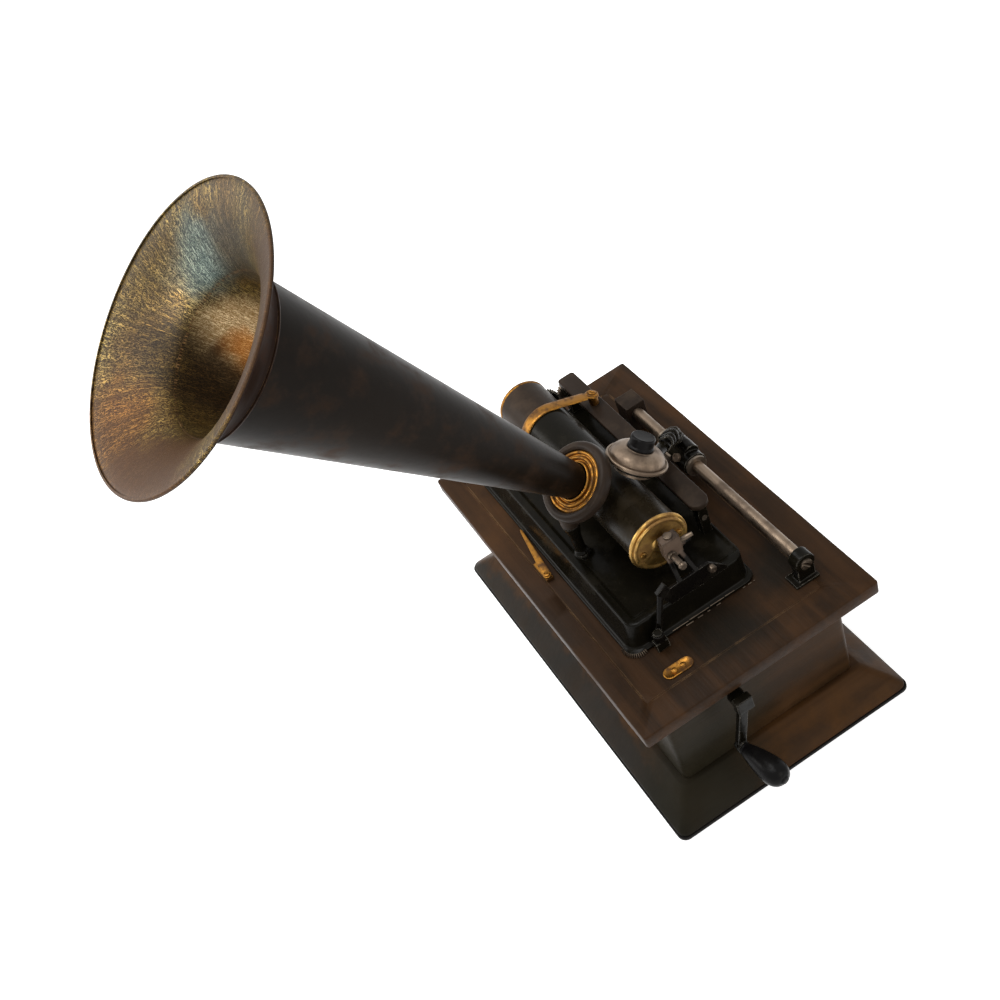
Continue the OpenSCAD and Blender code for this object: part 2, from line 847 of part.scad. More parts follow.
sleeve_r = 9;
sleeve_collar_r = 11.5;
sleeve_collar_l = 3;
hub_end = hub_x + hub_l;

module carriage_sleeve() {
  l = hub_l + 2 * seat + 2 * sleeve_collar_l;
  x0 = hub_x - seat - sleeve_collar_l;
  color([0.55, 0.5, 0.42])
    difference() {
      union() {
        rod_x(x0, rod_y, rod_z, l, sleeve_r);
        rod_x(x0, rod_y, rod_z, sleeve_collar_l, sleeve_collar_r);
        rod_x(hub_end + seat, rod_y, rod_z, sleeve_collar_l, sleeve_collar_r);
      }
      rod_x(x0 - 1, rod_y, rod_z, l + 2, rod_r + running);
    }
}

lump_y = 3;
lump_z = 9;
lump_r = 9;
eye_t = 5;
eye_in_r = box_body_r + running;
eye_out_r = box_body_r + 4;
box_y = mandrel_y + box_reach * sin(box_lean);
box_z = axis_z + box_reach * cos(box_lean);

// Puts a child drawn about Z at the sound box, with Z along its leaning axis
module at_box() {
  translate([box_x, box_y, box_z])
    rotate([-box_lean, 0, 0])
      children();
}

// A place given about the sound box's leaning axis, in the machine's frame
function from_box(x, y, z) = [
  box_x + x,
  box_y + y * cos(box_lean) + z * sin(box_lean),
  box_z - y * sin(box_lean) + z * cos(box_lean)];

arm_r = 6;
arm_root_x = -28;
arm_tip = from_box(-4, eye_out_r - 1, -eye_t / 2 - seat);
arm_root = [arm_root_x, rod_y, rod_z + lump_z + lump_r];
arm_elbow = [arm_root_x + 30, rod_y - 15, rod_z + 56];

// Straight round bar from one place to another
module bar(from, to, r) {
  d = to - from;
  l = norm(d);
  translate(from)
    rotate([0, acos(d[2] / l), atan2(d[1], d[0])])
      cylinder(h = l, r = r);
}

module carrier_arm() {
  color([0.07, 0.07, 0.07])
    difference() {
      union() {
        rod_x(hub_x, rod_y, rod_z, hub_l, hub_r);
        rod_x(hub_x + 8, rod_y + lump_y, rod_z + lump_z, hub_l - 16, lump_r);
        at_box()
          translate([0, 0, -eye_t - seat])
            cylinder(h = eye_t, r = eye_out_r);
        bar(arm_tip, arm_elbow, arm_r);
        bar(arm_elbow, arm_root, arm_r);
        for (p = [arm_tip, arm_elbow, arm_root])
          translate(p)
            sphere(arm_r + 0.5);
      }
      rod_x(hub_x - 1, rod_y, rod_z, hub_l + 2, sleeve_r + running);
      at_box()
        translate([0, 0, -box_body_h - 2])
          cylinder(h = box_body_h + 4, r = eye_in_r);
      at_box()
        translate([0, 0, -seat])
          cylinder(h = 20, r = box_r + 1);
    }
}

arm_nut_x = [-42, -13];
arm_nut_r = 5;

module arm_nuts() {
  color([0.7, 0.68, 0.62])
    for (x = arm_nut_x)
      translate([x, rod_y, rod_z])
        rotate([50, 0, 0])
          translate([0, 0, hub_r + running])
            difference() {
              cylinder(h = 4, r = arm_nut_r, $fn = 6);
              translate([0, 0, 2.5])
                cylinder(h = 3, r = 2);
            }
}

nut_l = 14;
nut_t = 5;

module half_nut() {
  color([0.6, 0.5, 0.35])
    difference() {
      union() {
        translate([arm_root_x - nut_l / 2, edge_y + 1, feed_z - 6])
          cube([nut_l, feed_r + nut_t - 1, 12]);
        hull() {
          translate([arm_root_x - nut_l / 2, edge_y + feed_r + nut_t - 2, feed_z - 4])
            cube([nut_l, 2, 2]);
          translate([arm_root_x - nut_l / 2, rod_y - hub_r - 1.5, rod_z + 2])
            cube([nut_l, 1.2, 2]);
        }
        translate([arm_root_x - nut_l / 2, rod_y - hub_r - 2.5, rod_z - 6])
          cube([nut_l, 2.2, 14]);
      }
      rod_x(arm_root_x - nut_l, edge_y, feed_z, 2 * nut_l, feed_r + seat);
      rod_x(arm_root_x - nut_l, rod_y, rod_z, 2 * nut_l, hub_r + seat / 3);
    }
}

// Sound box that the arm carries

module sound_box() {
  neck = 5;
  color([0.72, 0.7, 0.64])
    at_box()
      rotate_extrude($fn = 96)
        polygon(concat(
          [[0, 0], [box_r - 0.6, 0], [box_r, 0.6], [box_r, box_flange - 1], [box_r - 1, box_flange]],
          [for (i = [0 : 8])
            let (a = 90 * i / 8, rise = box_dome * sin(a))
            [knob_r + 1.5 + (box_r - 3.5 - knob_r - 1.5) * cos(a), box_flange + 0.6 + rise - 0.6 * cos(a)]],
          [[neck, box_flange + box_dome + 0.6], [neck, box_flange + box_dome + 6], [0, box_flange + box_dome + 6]]));
}

module sound_box_cup() {
  color([0.5, 0.48, 0.44])
    at_box()
      translate([0, 0, -box_body_h - seat])
        difference() {
          cylinder(h = box_body_h, r = box_body_r);
          translate([0, 0, 2])
            cylinder(h = box_body_h, r = box_body_r - 3);
          translate([0, 0, -1])
            cylinder(h = 4, r = 6);
        }
}

// A diaphragm with its link, lever and stylus; it reaches down from its own face to the record
module stylus_set(disc, drop) {
  cylinder(h = 0.8, r = disc);
  translate([0, 0, -drop + 6])
    cylinder(h = drop - 6 + 0.1, r = 1.2);
  translate([-7, -2, -drop + 4])
    cube([14, 4, 2.4]);
  translate([0, 0, -drop])
    cylinder(h = 4.2, r1 = 0.5, r2 = 1.4);
}

box_diaphragm = box_body_h - 3.5;

module sound_box_stylus() {
  color([0.85, 0.83, 0.75])
    at_box()
      translate([0, 0, -box_diaphragm])
        stylus_set(box_body_r - 3 - seat, box_reach - box_diaphragm - record_r - seat);
}

module sound_box_knob() {
  z0 = box_flange + box_dome + 0.6 + seat;
  color([0.06, 0.06, 0.06])
    at_box()
      translate([0, 0, z0])
        difference() {
          rotate_extrude()
            polygon([[0, 0], [knob_r - 1, 0], [knob_r, 1], [knob_r, knob_h - 1.5], [knob_r - 1.5, knob_h], [0, knob_h]]);
          translate([0, 0, -1])
            cylinder(h = 7, r = 5 + running);
        }
}

// Horn, its collar and the post that carries them

collar_y = mandrel_y - collar_reach * sin(horn_lean);
collar_z = axis_z + collar_reach * cos(horn_lean);
pan_post_z = pan_top_z;
post_h = 46;
post_stem_h = 28;
post_swell_h = 40;
post_top_r = 9;

// Puts a child drawn about Z on the horn's line, with z = 0 at the collar's front
module at_horn() {
  translate([collar_x, collar_y, collar_z])
    rotate([0, 0, horn_turn])
      rotate([horn_lean, 0, 0])
        children();
}

module horn_post() {
  color([0.07, 0.07, 0.07])
    translate([collar_x, horn_post_y, pan_post_z]) {
      translate([0, 0, -pan_wall])
        cylinder(h = pan_wall + 2, r = post_pin_r);
      rotate_extrude()
        polygon([
          [0, seat], [post_boss_r, seat], [post_boss_r, 3], [post_boss_r - 1.5, 4], [post_boss_r - 0.5, 6],
          [post_boss_r - 2.3, 9], [5.5, 12], [5.6, post_stem_h], [8, post_swell_h], [post_top_r, post_h],
          [0, post_h]]);
    }
}

collar_round = 5;
collar_stem_drop = 21;
horn_cup = 3.5;

module collar_ring() {
  inner = bush_r + running;
  steps = 5;
  color([0.08, 0.08, 0.08])
    difference() {
      union() {
        at_horn()
          translate([0, 0, -collar_t])
            rotate_extrude($fn = 96)
              polygon(concat(
                [[inner, 0]],
                [for (i = [0 : steps])
                  let (a = -90 + 90 * i / steps)
                  [collar_r - collar_round + collar_round * cos(a), collar_round + collar_round * sin(a)]],
                [for (i = [0 : steps])
                  let (a = 90 * i / steps)
                  [collar_r - collar_round + collar_round * cos(a), collar_t - collar_round + collar_round * sin(a)]],
                [[inner + 2, collar_t], [inner, collar_t - 2]]));
        translate([collar_x, horn_post_y, pan_post_z + post_h])
          cylinder(h = collar_z - pan_post_z - post_h - collar_stem_drop, r = post_top_r);
      }
      at_horn()
        translate([0, 0, -collar_t - 1])
          cylinder(h = collar_t + 20, r = inner);
      at_horn()
        translate([0, 0, -collar_t - horn_cup - 2 * seat])
          cylinder(h = horn_cup + 2, r = bush_r - 4 + seat);
    }
}

function neck_at(t) = neck_r + (cone_r - neck_r) * t / cone_l;

module collar_bush() {
  back = collar_t - 0.5;
  color([0.82, 0.62, 0.3])
    at_horn()
      rotate_extrude($fn = 96)
        polygon([
          [neck_at(-back) + seat, -back], [bush_r, -back], [bush_r, -3.4], [bush_r - 3, -2.2],
          [bush_r - 3.4, -3.4], [bush_r - 6, -3.4], [bush_r - 6.8, -2.6], [bush_r - 9, -2.6],
          [bush_r - 9.6, -1.6], [neck_at(-0.8) + seat + 0.6, -0.8], [neck_at(-1.5) + seat, -1.5]]);
}

module horn_diaphragm() {
  cup = horn_cup;
  color([0.75, 0.72, 0.66])
    at_horn()
      translate([0, 0, -collar_t - cup - seat])
        difference() {
          cylinder(h = cup, r = bush_r - 4);
          translate([0, 0, 1])
            cylinder(h = cup, r = bush_r - 7);
          translate([0, 0, -1])
            cylinder(h = 4, r = 4);
        }
}

module horn_stylus() {
  face = collar_t + 1.6;
  color([0.85, 0.83, 0.75])
    at_horn()
      translate([0, 0, -face])
        stylus_set(bush_r - 7 - seat, collar_reach - face - record_r - seat);
}

module horn_cone() {
  color([0.10, 0.08, 0.07])
    at_horn()
      rotate_extrude($fn = 96)
        polygon([
          [neck_at(-neck_in) - horn_wall, -neck_in], [neck_at(-neck_in), -neck_in],
          [cone_r, cone_l], [cone_r - horn_wall, cone_l]]);
}

// The bell's face leaves its throat along the cone and ends flat at the rim
flare = 1.42;

// Height of the bell's face above its throat at a share s of the way to the rim
function bell_rise(s) = bell_depth * pow(1 - pow(1 - s, flare), 1 / flare);

// Share of the way to the rim at step i, closer together near the throat
function bell_share(i, steps) = pow(i / steps, 1.6);

module horn_bell() {
  steps = 14;
  throat = cone_r + seat;
  run = bell_r - rim_r - throat;
  sleeve = 4;
  color([0.55, 0.45, 0.25])
    at_horn()
      translate([0, 0, cone_l])
        rotate_extrude($fn = 96) {
          polygon(concat(
            [[throat, -sleeve], [throat + 2.4, -sleeve], [throat + 2.4, 0]],
            [for (i = [1 : steps])
              let (s = bell_share(i, steps))
              [throat + 1.5 + (run - 1.5) * s, bell_rise(s)]],
            [for (i = [steps : -1 : 0])
              let (s = bell_share(i, steps))
              [throat - horn_wall + (run + horn_wall) * s, horn_wall + seat + bell_rise(s)]],
            [[throat - horn_wall, seat], [throat, seat]]));
          translate([bell_r - rim_r, bell_depth + horn_wall / 2])
            circle(rim_r, $fn = 24);
        }
}

// End gate

gate_plate_x = 131;
gate_foot_h = 11;
gate_knuckle_h = 9;
gate_knuckle_r = 5.5;
gate_foot_l = 8;
gate_foot_w = 13;
// Height of the leg's bend, and the top corner of the shoulder beside it
gate_bend_h = 50;
gate_bend_y = -42;
shoulder_h = 64;
shoulder_t = 5;
centre_boss_x = record_end + disc_t + 6;
centre_boss_l = 10;
centre_block_w = 18;
centre_block_h = 23;
centre_block_y = mandrel_y - 5.5;
centre_block_z = axis_z - 6;
centre_tail = 20;
centre_nut_r = centre_r + 1.8;

module gate_foot() {
  color([0.08, 0.08, 0.08])
    translate([gate_x, gate_y, deck_z]) {
      translate([-gate_foot_l / 2, -gate_foot_w / 2, 0])
        cube([gate_foot_l, gate_foot_w, gate_foot_h]);
      cylinder(h = gate_foot_h + gate_knuckle_h + 1.5, r = gate_pin_r);
      translate([0, 0, gate_foot_h + gate_knuckle_h + 2 * seat])
        cylinder(h = 1.5, r = gate_pin_r + 1.5);
    }
}

// Upright plate of the gate with the sloping shoulder that its leg runs up to
module gate_plate() {
  translate([gate_plate_x, 0, deck_z])
    rotate([90, 0, 90]) {
      linear_extrude(gate_t)
        polygon([
          [gate_bend_y, gate_h - 5], [gate_bend_y + 7, gate_h], [12, gate_h],
          [28, pan_h + 6], [28, pan_h + 2], [-34, pan_h + 2]]);
      linear_extrude(shoulder_t)
        polygon([
          [gate_bend_y - 3.5, shoulder_h - 7], [gate_bend_y + 7, shoulder_h],
          [gate_bend_y + 10, shoulder_h - 9], [gate_bend_y + 0.5, shoulder_h - 18]]);
    }
}

module end_gate() {
  knuckle_z = deck_z + gate_foot_h + seat;
  bend = [gate_plate_x + shoulder_t / 2, gate_bend_y, deck_z + gate_bend_h];
  color([0.09, 0.09, 0.09])
    difference() {
      union() {
        translate([gate_x, gate_y, knuckle_z])
          cylinder(h = gate_knuckle_h, r = gate_knuckle_r);
        hull() {
          translate([gate_x - 4, gate_y + 4, knuckle_z + gate_knuckle_h - 4])
            cylinder(h = 4, r = 3, $fn = 32);
          translate(bend)
            cylinder(h = 3, r = 2.6, $fn = 32);
        }
        gate_plate();
        for (s = [-1, 1])
          hull() {
            translate([gate_plate_x, mandrel_y + s * 9 + 1, deck_z + gate_h - 4])
              cube([gate_t, 4, 4]);
            translate([centre_boss_x + 4, mandrel_y + s * 6 + 1, centre_block_z])
              cube([5, 4, 4]);
          }
        translate([centre_boss_x, centre_block_y, centre_block_z])
          cube([centre_boss_l, centre_block_w, centre_block_h]);
        translate([centre_boss_x + centre_boss_l / 2, centre_block_y + centre_block_w - 1, axis_z])
          rotate([-90, 0, 0])
            cylinder(h = 12, r = 3);
      }
      translate([gate_x, gate_y, deck_z])
        cylinder(h = gate_foot_h + gate_knuckle_h + 6, r = gate_pin_r + running);
      translate([gate_x, gate_y, deck_z + gate_foot_h + gate_knuckle_h + seat])
        cylinder(h = 8, r = gate_pin_r + 3);
      rod_x(centre_boss_x - 1, mandrel_y, axis_z, centre_boss_l + 2, centre_r + running);
      rod_x(
        centre_boss_x + centre_boss_l, mandrel_y, axis_z,
        gate_plate_x - centre_boss_x - centre_boss_l, centre_nut_r + 0.6
      );
    }
}

module gate_centre() {
  tip_x = record_end + disc_t - centre_depth + 2 * seat;
  tip_l = 4;
  nut_x = centre_boss_x + centre_boss_l;
  color([0.45, 0.42, 0.36]) {
    rod_x(tip_x + tip_l, mandrel_y, axis_z, nut_x + centre_tail - tip_x - tip_l, centre_r);
    along_x(tip_x, mandrel_y, axis_z)
      cylinder(h = tip_l, r1 = 0.6, r2 = centre_r);
    along_x(nut_x + seat, mandrel_y, axis_z)
      cylinder(h = 3.5, r = centre_nut_r, $fn = 6);
    along_x(nut_x + centre_tail - 3, mandrel_y, axis_z)
      cylinder(h = 3, r = centre_r + 0.8);
  }
}

// Start lever and the two small fittings on the deck

lever_x = -11;
lever_y = -100;
lever_pin_r = 2;
lever_pin_x = -1.5;
lever_turn = 7;
lever_t = 2;

module lever_block() {
  color([0.75, 0.56, 0.26])
    difference() {
      translate([lever_x - lever_block_l / 2, lever_y - 4, deck_z])
        cube([lever_block_l, 8, lever_block_h]);
      translate([lever_pin_x, lever_y, deck_z - 1])
        cylinder(h = lever_block_h + 2, r = lever_pin_r + running);
    }
}

module start_lever() {
  z = deck_z + lever_block_h + seat;
  color([0.8, 0.6, 0.28])
    translate([lever_pin_x, lever_y, 0]) {
      translate([0, 0, deck_z + seat])
        cylinder(h = lever_block_h + lever_t, r = lever_pin_r);
      translate([0, 0, z])
        rotate([0, 0, 180 - lever_turn])
          linear_extrude(lever_t) {
            circle(lever_w / 2);
            polygon([[0, -lever_w / 2], [lever_l - 4, -1.5], [lever_l, 0], [lever_l - 4, 1.5], [0, lever_w / 2]]);
          }
      translate([0, 0, z + lever_t])
        cylinder(h = 1.5, r = 3.4);
    }
}

tag_x = 172.7;
tag_y = -61.9;

module brass_tag() {
  color([0.8, 0.6, 0.28])
    translate([tag_x, tag_y, deck_z]) {
      linear_extrude(tag_t)
        rotate([0, 0, 90]) {
          square([tag_l - tag_w, tag_w], center = true);
          for (s = [-1, 1])
            translate([s * (tag_l - tag_w) / 2, 0])
              circle(tag_w / 2);
        }
      for (s = [-1, 1])
        translate([0, s * tag_l / 5, tag_t])
          cylinder(h = 0.8, r = 2.6);
    }
}

// Winding shaft, crank and grip

module shaft_escutcheon() {
  color([0.1, 0.1, 0.1])
    along_x(case_l / 2 - case_wall - 2, winding_y, winding_z)
      difference() {
        union() {
          cylinder(h = case_wall + 2, r = escutcheon_r);
          translate([0, 0, case_wall + 2 + seat / 10])
            cylinder(h = 3, r = escutcheon_r + 4);
        }
        translate([0, 0, -1])
          cylinder(h = case_wall + 10, r = winding_r + running);
      }
}

module winding_shaft() {
  color([0.55, 0.55, 0.55]) {
    rod_x(wind_x, winding_y, winding_z, crank_x + crank_t - wind_x, winding_r);
    along_x(wind_x, winding_y, winding_z)
      gear(winding_teeth, winding_m, 8, wind_angle);
  }
}

// Puts a child on the crank arm's end, where the grip's line starts
module at_grip() {
  translate([crank_x + crank_t, winding_y, winding_z])
    rotate([-crank_lean, 0, 0])
      translate([0, 0, -crank_l])
        rotate([crank_lean, 0, 0])
          rotate([0, 0, grip_yaw])
            rotate([0, 90, 0])
              children();
}

spindle_r = 3;
hub_in = 10;
crank_hub_r = 8;
crank_head_w = 17;
crank_head_h = 17;

module crank_arm() {
  color([0.08, 0.08, 0.08])
    difference() {
      union() {
        rod_x(crank_x - hub_in, winding_y, winding_z, hub_in + crank_t, crank_hub_r);
        translate([crank_x, winding_y - crank_head_w / 2, winding_z - crank_head_h / 2])
          cube([crank_t + 2, crank_head_w, crank_head_h]);
        translate([crank_x, winding_y, winding_z])
          rotate([-crank_lean, 0, 0]) {
            translate([0, -crank_w / 2, -crank_l])
              cube([crank_t, crank_w, crank_l]);
            translate([0, 0, -crank_l])
              rotate([0, 90, 0])
                cylinder(h = crank_t, r = crank_w / 2 + 1.5);
          }
        at_grip()
          translate([0, 0, -2])
            cylinder(h = grip_l - 8, r = spindle_r);
        at_grip()
          translate([0, 0, -1])
            cylinder(h = 3, r = 6.5);
      }
      rod_x(crank_x - hub_in - 1, winding_y, winding_z, hub_in + crank_t + 1, winding_r + running);
    }
}

module crank_grip() {
  z0 = 2 + seat;
  steps = 8;
  color([0.05, 0.05, 0.05])
    at_grip()
      difference() {
        rotate_extrude()
          polygon(concat(
            [[0, z0], [6.5, z0]],
            [for (i = [0 : steps]) [7 + (grip_r - 7) * sin(90 * i / steps), z0 + 3 + (grip_l - 17) * i / steps]],
            [for (i = [1 : steps])
              [grip_r * cos(90 * i / steps), z0 + grip_l - 14 + 11.5 * sin(90 * i / steps)]]));
        translate([0, 0, -1])
          cylinder(h = grip_l - 8, r = spindle_r + running);
      }
}

// Spring motor under the deck

second_x = plate_far + 4;
third_x = plate_far + 11;
great_x = plate_far + 17;
drum_x = great_x + 4;
drum_l = 32;
plate_near = plate_far + plate_gap;
plate_y0 = barrel_y - 31;
plate_w = 112;

module plate_holes(x) {
  rod_x(x - 1, barrel_y, barrel_z, plate_t + 2, arbor_r + running);
  rod_x(x - 1, inter_y, inter_z, plate_t + 2, thin_r + running);
  rod_x(x - 1, drive_y, drive_z, plate_t + 2, thin_r + running);
  rod_x(x - 1, gov_y, gov_z, plate_t + 2, thin_r + running);
}

pawl_y = barrel_y - 26;
pawl_z = barrel_z + 14;
pawl_pin_r = 2.5;

pillar_r = 4;
pillar_in = 5;
pillar_places = [
  for (y = [plate_y0 + pillar_in, plate_y0 + plate_w - pillar_in], z = [under_z - 12, under_z - plate_h + pillar_in])
    [y, z]];
flange_l = 14;

module motor_plates() {
  color([0.62, 0.55, 0.38])
    for (side = [0, 1]) {
      x = side == 0 ? plate_far - plate_t : plate_near;
      difference() {
        union() {
          translate([x, plate_y0, under_z - plate_h])
            cube([plate_t, plate_w, plate_h]);
          translate([side == 0 ? x - flange_l + plate_t : x, plate_y0, under_z - plate_t])
            cube([flange_l, 22, plate_t]);
          translate([side == 0 ? x - flange_l + plate_t : x, plate_y0 + plate_w - 22, under_z - plate_t])
            cube([flange_l, 22, plate_t]);
        }
        plate_holes(x);
        rod_x(x - 1, winding_y, winding_z, plate_t + 2, winding_r + running);
        if (side == 1)
          rod_x(x - 1, pawl_y, pawl_z, plate_t + 2, pawl_pin_r + running);
      }
    }
}

module motor_pillars() {
  color([0.6, 0.6, 0.58])
    for (p = pillar_places)
      rod_x(plate_far, p[0], p[1], plate_gap, pillar_r);
}

cover_t = 2;
barrel_wall = 2.5;

module spring_barrel() {
  color([0.75, 0.6, 0.32])
    difference() {
      union() {
        along_x(great_x, barrel_y, barrel_z)
          gear(great_teeth, great_m, 4, inter_angle);
        rod_x(great_x, barrel_y, barrel_z, drum_l + 4, barrel_r);
      }
      rod_x(drum_x, barrel_y, barrel_z, drum_l - cover_t, barrel_r - barrel_wall);
      rod_x(great_x - 1, barrel_y, barrel_z, drum_l + 6, arbor_r + running);
    }
}

spring_w = 24;
spring_t = 1.4;
spring_core = 9;

// Radius of the mainspring's line after a share s of its turns
function coil_r(s) = spring_core + 1 + (barrel_r - barrel_wall - spring_core - 3) * s;

module mainspring() {
  steps = spring_turns * 20;
  color([0.35, 0.37, 0.42])
    along_x(drum_x + 3, barrel_y, barrel_z)
      linear_extrude(spring_w)
        polygon(concat(
          [for (i = [0 : steps])
            (coil_r(i / steps) + spring_t / 2) * [cos(18 * i), sin(18 * i)]],
          [for (i = [steps : -1 : 0])
            (coil_r(i / steps) - spring_t / 2) * [cos(18 * i), sin(18 * i)]]));
}

ratchet_x = plate_near - 6;
ratchet_r = 18;
ratchet_teeth = 16;

module ratchet_outline() {
  polygon([for (i = [0 : ratchet_teeth - 1], c = [[ratchet_r, 0], [ratchet_r - 4, 0.12]])
    c[0] * [cos((i + c[1]) * 360 / ratchet_teeth), sin((i + c[1]) * 360 / ratchet_teeth)]]);
}

module winding_arbor() {
  x0 = plate_far - plate_t;
  color([0.6, 0.58, 0.5]) {
    rod_x(x0, barrel_y, barrel_z, plate_gap + 2 * plate_t, arbor_r);
    rod_x(drum_x + seat, barrel_y, barrel_z, drum_l - cover_t - 2 * seat, spring_core);
    along_x(wind_x + 2, barrel_y, barrel_z)
      gear(wheel_teeth, winding_m, 4, wind_angle + 180 + 180 / wheel_teeth);
    along_x(ratchet_x, barrel_y, barrel_z)
      linear_extrude(4)
        ratchet_outline();
  }
}

module ratchet_pawl() {
  tip = [barrel_y - (ratchet_r + 1) * cos(10), barrel_z + (ratchet_r + 1) * sin(10)];
  color([0.4, 0.4, 0.42])
    union() {
      rod_x(ratchet_x, pawl_y, pawl_z, 4, 5);
      along_x(ratchet_x, 0, 0)
        linear_extrude(4)
          polygon([[pawl_y - 4, pawl_z - 2], [tip[0] - 1, tip[1] - 1], tip, [pawl_y + 4, pawl_z + 2]]);
      rod_x(ratchet_x + 4, pawl_y, pawl_z, plate_near + plate_t - ratchet_x - 4, pawl_pin_r);
    }
}

module intermediate_arbor() {
  x0 = plate_far - plate_t;
  color([0.7, 0.6, 0.36]) {
    rod_x(x0, inter_y, inter_z, plate_gap + 2 * plate_t, thin_r);
    along_x(great_x - 1, inter_y, inter_z)
      gear(pinion_teeth, great_m, 6, inter_angle + 180 + 180 / pinion_teeth);
    along_x(second_x, inter_y, inter_z)
      gear(second_teeth, second_m, 3, drive_angle);
  }
}

module pulley_arbor() {
  x0 = belt_x - pulley_w / 2;
  color([0.7, 0.6, 0.36]) {
    rod_x(x0, drive_y, drive_z, plate_near + plate_t - x0, thin_r);
    along_x(second_x - 1, drive_y, drive_z)
      gear(pinion_teeth, second_m, 5, drive_angle + 180 + 180 / pinion_teeth);
    along_x(third_x, drive_y, drive_z)
      gear(third_teeth, third_m, 2.5, governor_angle);
    along_x(x0, drive_y, drive_z)
      groove_pulley(pulley_w, drive_pulley_r, thin_r - 0.5);
  }
}

gov_ball_r = 5;
gov_reach = 11;

module governor() {
  ball_x = (third_x + plate_near) / 2 - 4;
  color([0.72, 0.58, 0.3]) {
    rod_x(plate_far - plate_t, gov_y, gov_z, plate_gap + 2 * plate_t, thin_r);
    along_x(third_x - 1, gov_y, gov_z)
      gear(pinion_teeth, third_m, 4.5, governor_angle + 180 + 180 / pinion_teeth);
    rod_x(ball_x - 18, gov_y, gov_z, 4, 6);
    rod_x(ball_x + 14, gov_y, gov_z, 5, 6);
    rod_x(ball_x + 19, gov_y, gov_z, 2, 12);
    for (k = [0 : 2])
      translate([ball_x, gov_y, gov_z])
        rotate([120 * k, 0, 0]) {
          rod_x(-gov_ball_r, 0, gov_reach, 2 * gov_ball_r, gov_ball_r);
          translate([-16, -1.5, 5])
            cube([4, 3, gov_reach - 5 + 0.6]);
          translate([14, -1.5, 5])
            cube([4, 3, gov_reach - 5 + 0.6]);
          translate([-16, -1.5, gov_reach - 0.4])
            cube([34, 3, 1]);
        }
  }
}

// Belt round the two pulleys

belt_gap = 0.15;
belt_dy = mandrel_y - drive_y;
belt_dz = axis_z - drive_z;
belt_span = sqrt(belt_dy * belt_dy + belt_dz * belt_dz);
belt_angle = atan2(belt_dz, belt_dy);
belt_open = acos((drive_pulley_r - mandrel_pulley_r) / belt_span);

module belt_outline(grow) {
  big = drive_pulley_r + grow;
  small = mandrel_pulley_r + grow;
  a = belt_angle - belt_open;
  b = belt_angle + belt_open;
  translate([drive_y, drive_z])
    circle(big, $fn = 96);
  translate([mandrel_y, axis_z])
    circle(small, $fn = 96);
  polygon([
    [drive_y + big * cos(a), drive_z + big * sin(a)],
    [mandrel_y + small * cos(a), axis_z + small * sin(a)],
    [mandrel_y + small * cos(b), axis_z + small * sin(b)],
    [drive_y + big * cos(b), drive_z + big * sin(b)]]);
}

module drive_belt() {
  color([0.35, 0.22, 0.12])
    along_x(belt_x - belt_w / 2, 0, 0)
      linear_extrude(belt_w)
        difference() {
          belt_outline(belt_gap + belt_t);
          belt_outline(belt_gap);
        }
}

base_skirt();
base_strip();
bottom_board();
case_walls();
corner_blocks();
deck_board();
bedplate();
rear_housing();
rear_cap();
mandrel();
mandrel_shaft();
mandrel_pulley();
record_cylinder();
end_disc();
end_disc_screws();
bearing_strap();
strap_screw();
straight_edge();
edge_brackets();
feed_screw();
feed_idler();
rear_rod_block();
guide_rod();
front_rod_post();
rod_screw();
carriage_sleeve();
carrier_arm();
arm_nuts();
half_nut();
sound_box();
sound_box_cup();
sound_box_stylus();
sound_box_knob();
horn_post();
collar_ring();
collar_bush();
horn_diaphragm();
horn_stylus();
horn_cone();
horn_bell();
gate_foot();
end_gate();
gate_centre();
start_lever();
lever_block();
brass_tag();
shaft_escutcheon();
winding_shaft();
crank_arm();
crank_grip();
motor_plates();
motor_pillars();
spring_barrel();
mainspring();
winding_arbor();
ratchet_pawl();
intermediate_arbor();
pulley_arbor();
governor();
drive_belt();
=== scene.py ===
# Cylinder phonograph: finishes, detailed pieces, floor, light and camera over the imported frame
import json
from math import asin, cos, degrees, pi, radians, sin, sqrt

import bmesh
import bpy
from mathutils import Matrix, Vector, noise


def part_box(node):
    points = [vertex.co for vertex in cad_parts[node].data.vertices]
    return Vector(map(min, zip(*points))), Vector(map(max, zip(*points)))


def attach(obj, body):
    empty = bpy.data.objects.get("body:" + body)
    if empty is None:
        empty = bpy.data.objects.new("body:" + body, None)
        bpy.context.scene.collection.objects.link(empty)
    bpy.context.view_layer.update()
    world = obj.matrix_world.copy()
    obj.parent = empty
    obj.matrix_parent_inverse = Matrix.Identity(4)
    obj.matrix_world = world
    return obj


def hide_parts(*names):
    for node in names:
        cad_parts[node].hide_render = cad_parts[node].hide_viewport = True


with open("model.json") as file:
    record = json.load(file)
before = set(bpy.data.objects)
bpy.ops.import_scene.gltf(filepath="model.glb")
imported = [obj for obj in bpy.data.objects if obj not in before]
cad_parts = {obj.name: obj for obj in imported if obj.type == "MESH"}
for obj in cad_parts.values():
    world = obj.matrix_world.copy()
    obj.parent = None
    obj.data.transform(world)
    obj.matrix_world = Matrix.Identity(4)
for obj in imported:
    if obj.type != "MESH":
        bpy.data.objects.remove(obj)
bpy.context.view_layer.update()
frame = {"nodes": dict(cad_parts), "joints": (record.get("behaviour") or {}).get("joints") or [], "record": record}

MM = 0.001
TINY = 1e-6
X_AXIS = Vector((1, 0, 0))
UP = Vector((0, 0, 1))

# Names and places read from the frame

nodes = frame["nodes"]
joints = {joint["name"]: joint for joint in frame["joints"]}
body_of = {
    node: body
    for body, members in frame["record"]["behaviour"]["bodies"].items()
    for node in members
}
slot_of = {part["node"]: part["material_slot"] for part in frame["record"]["subparts"]}

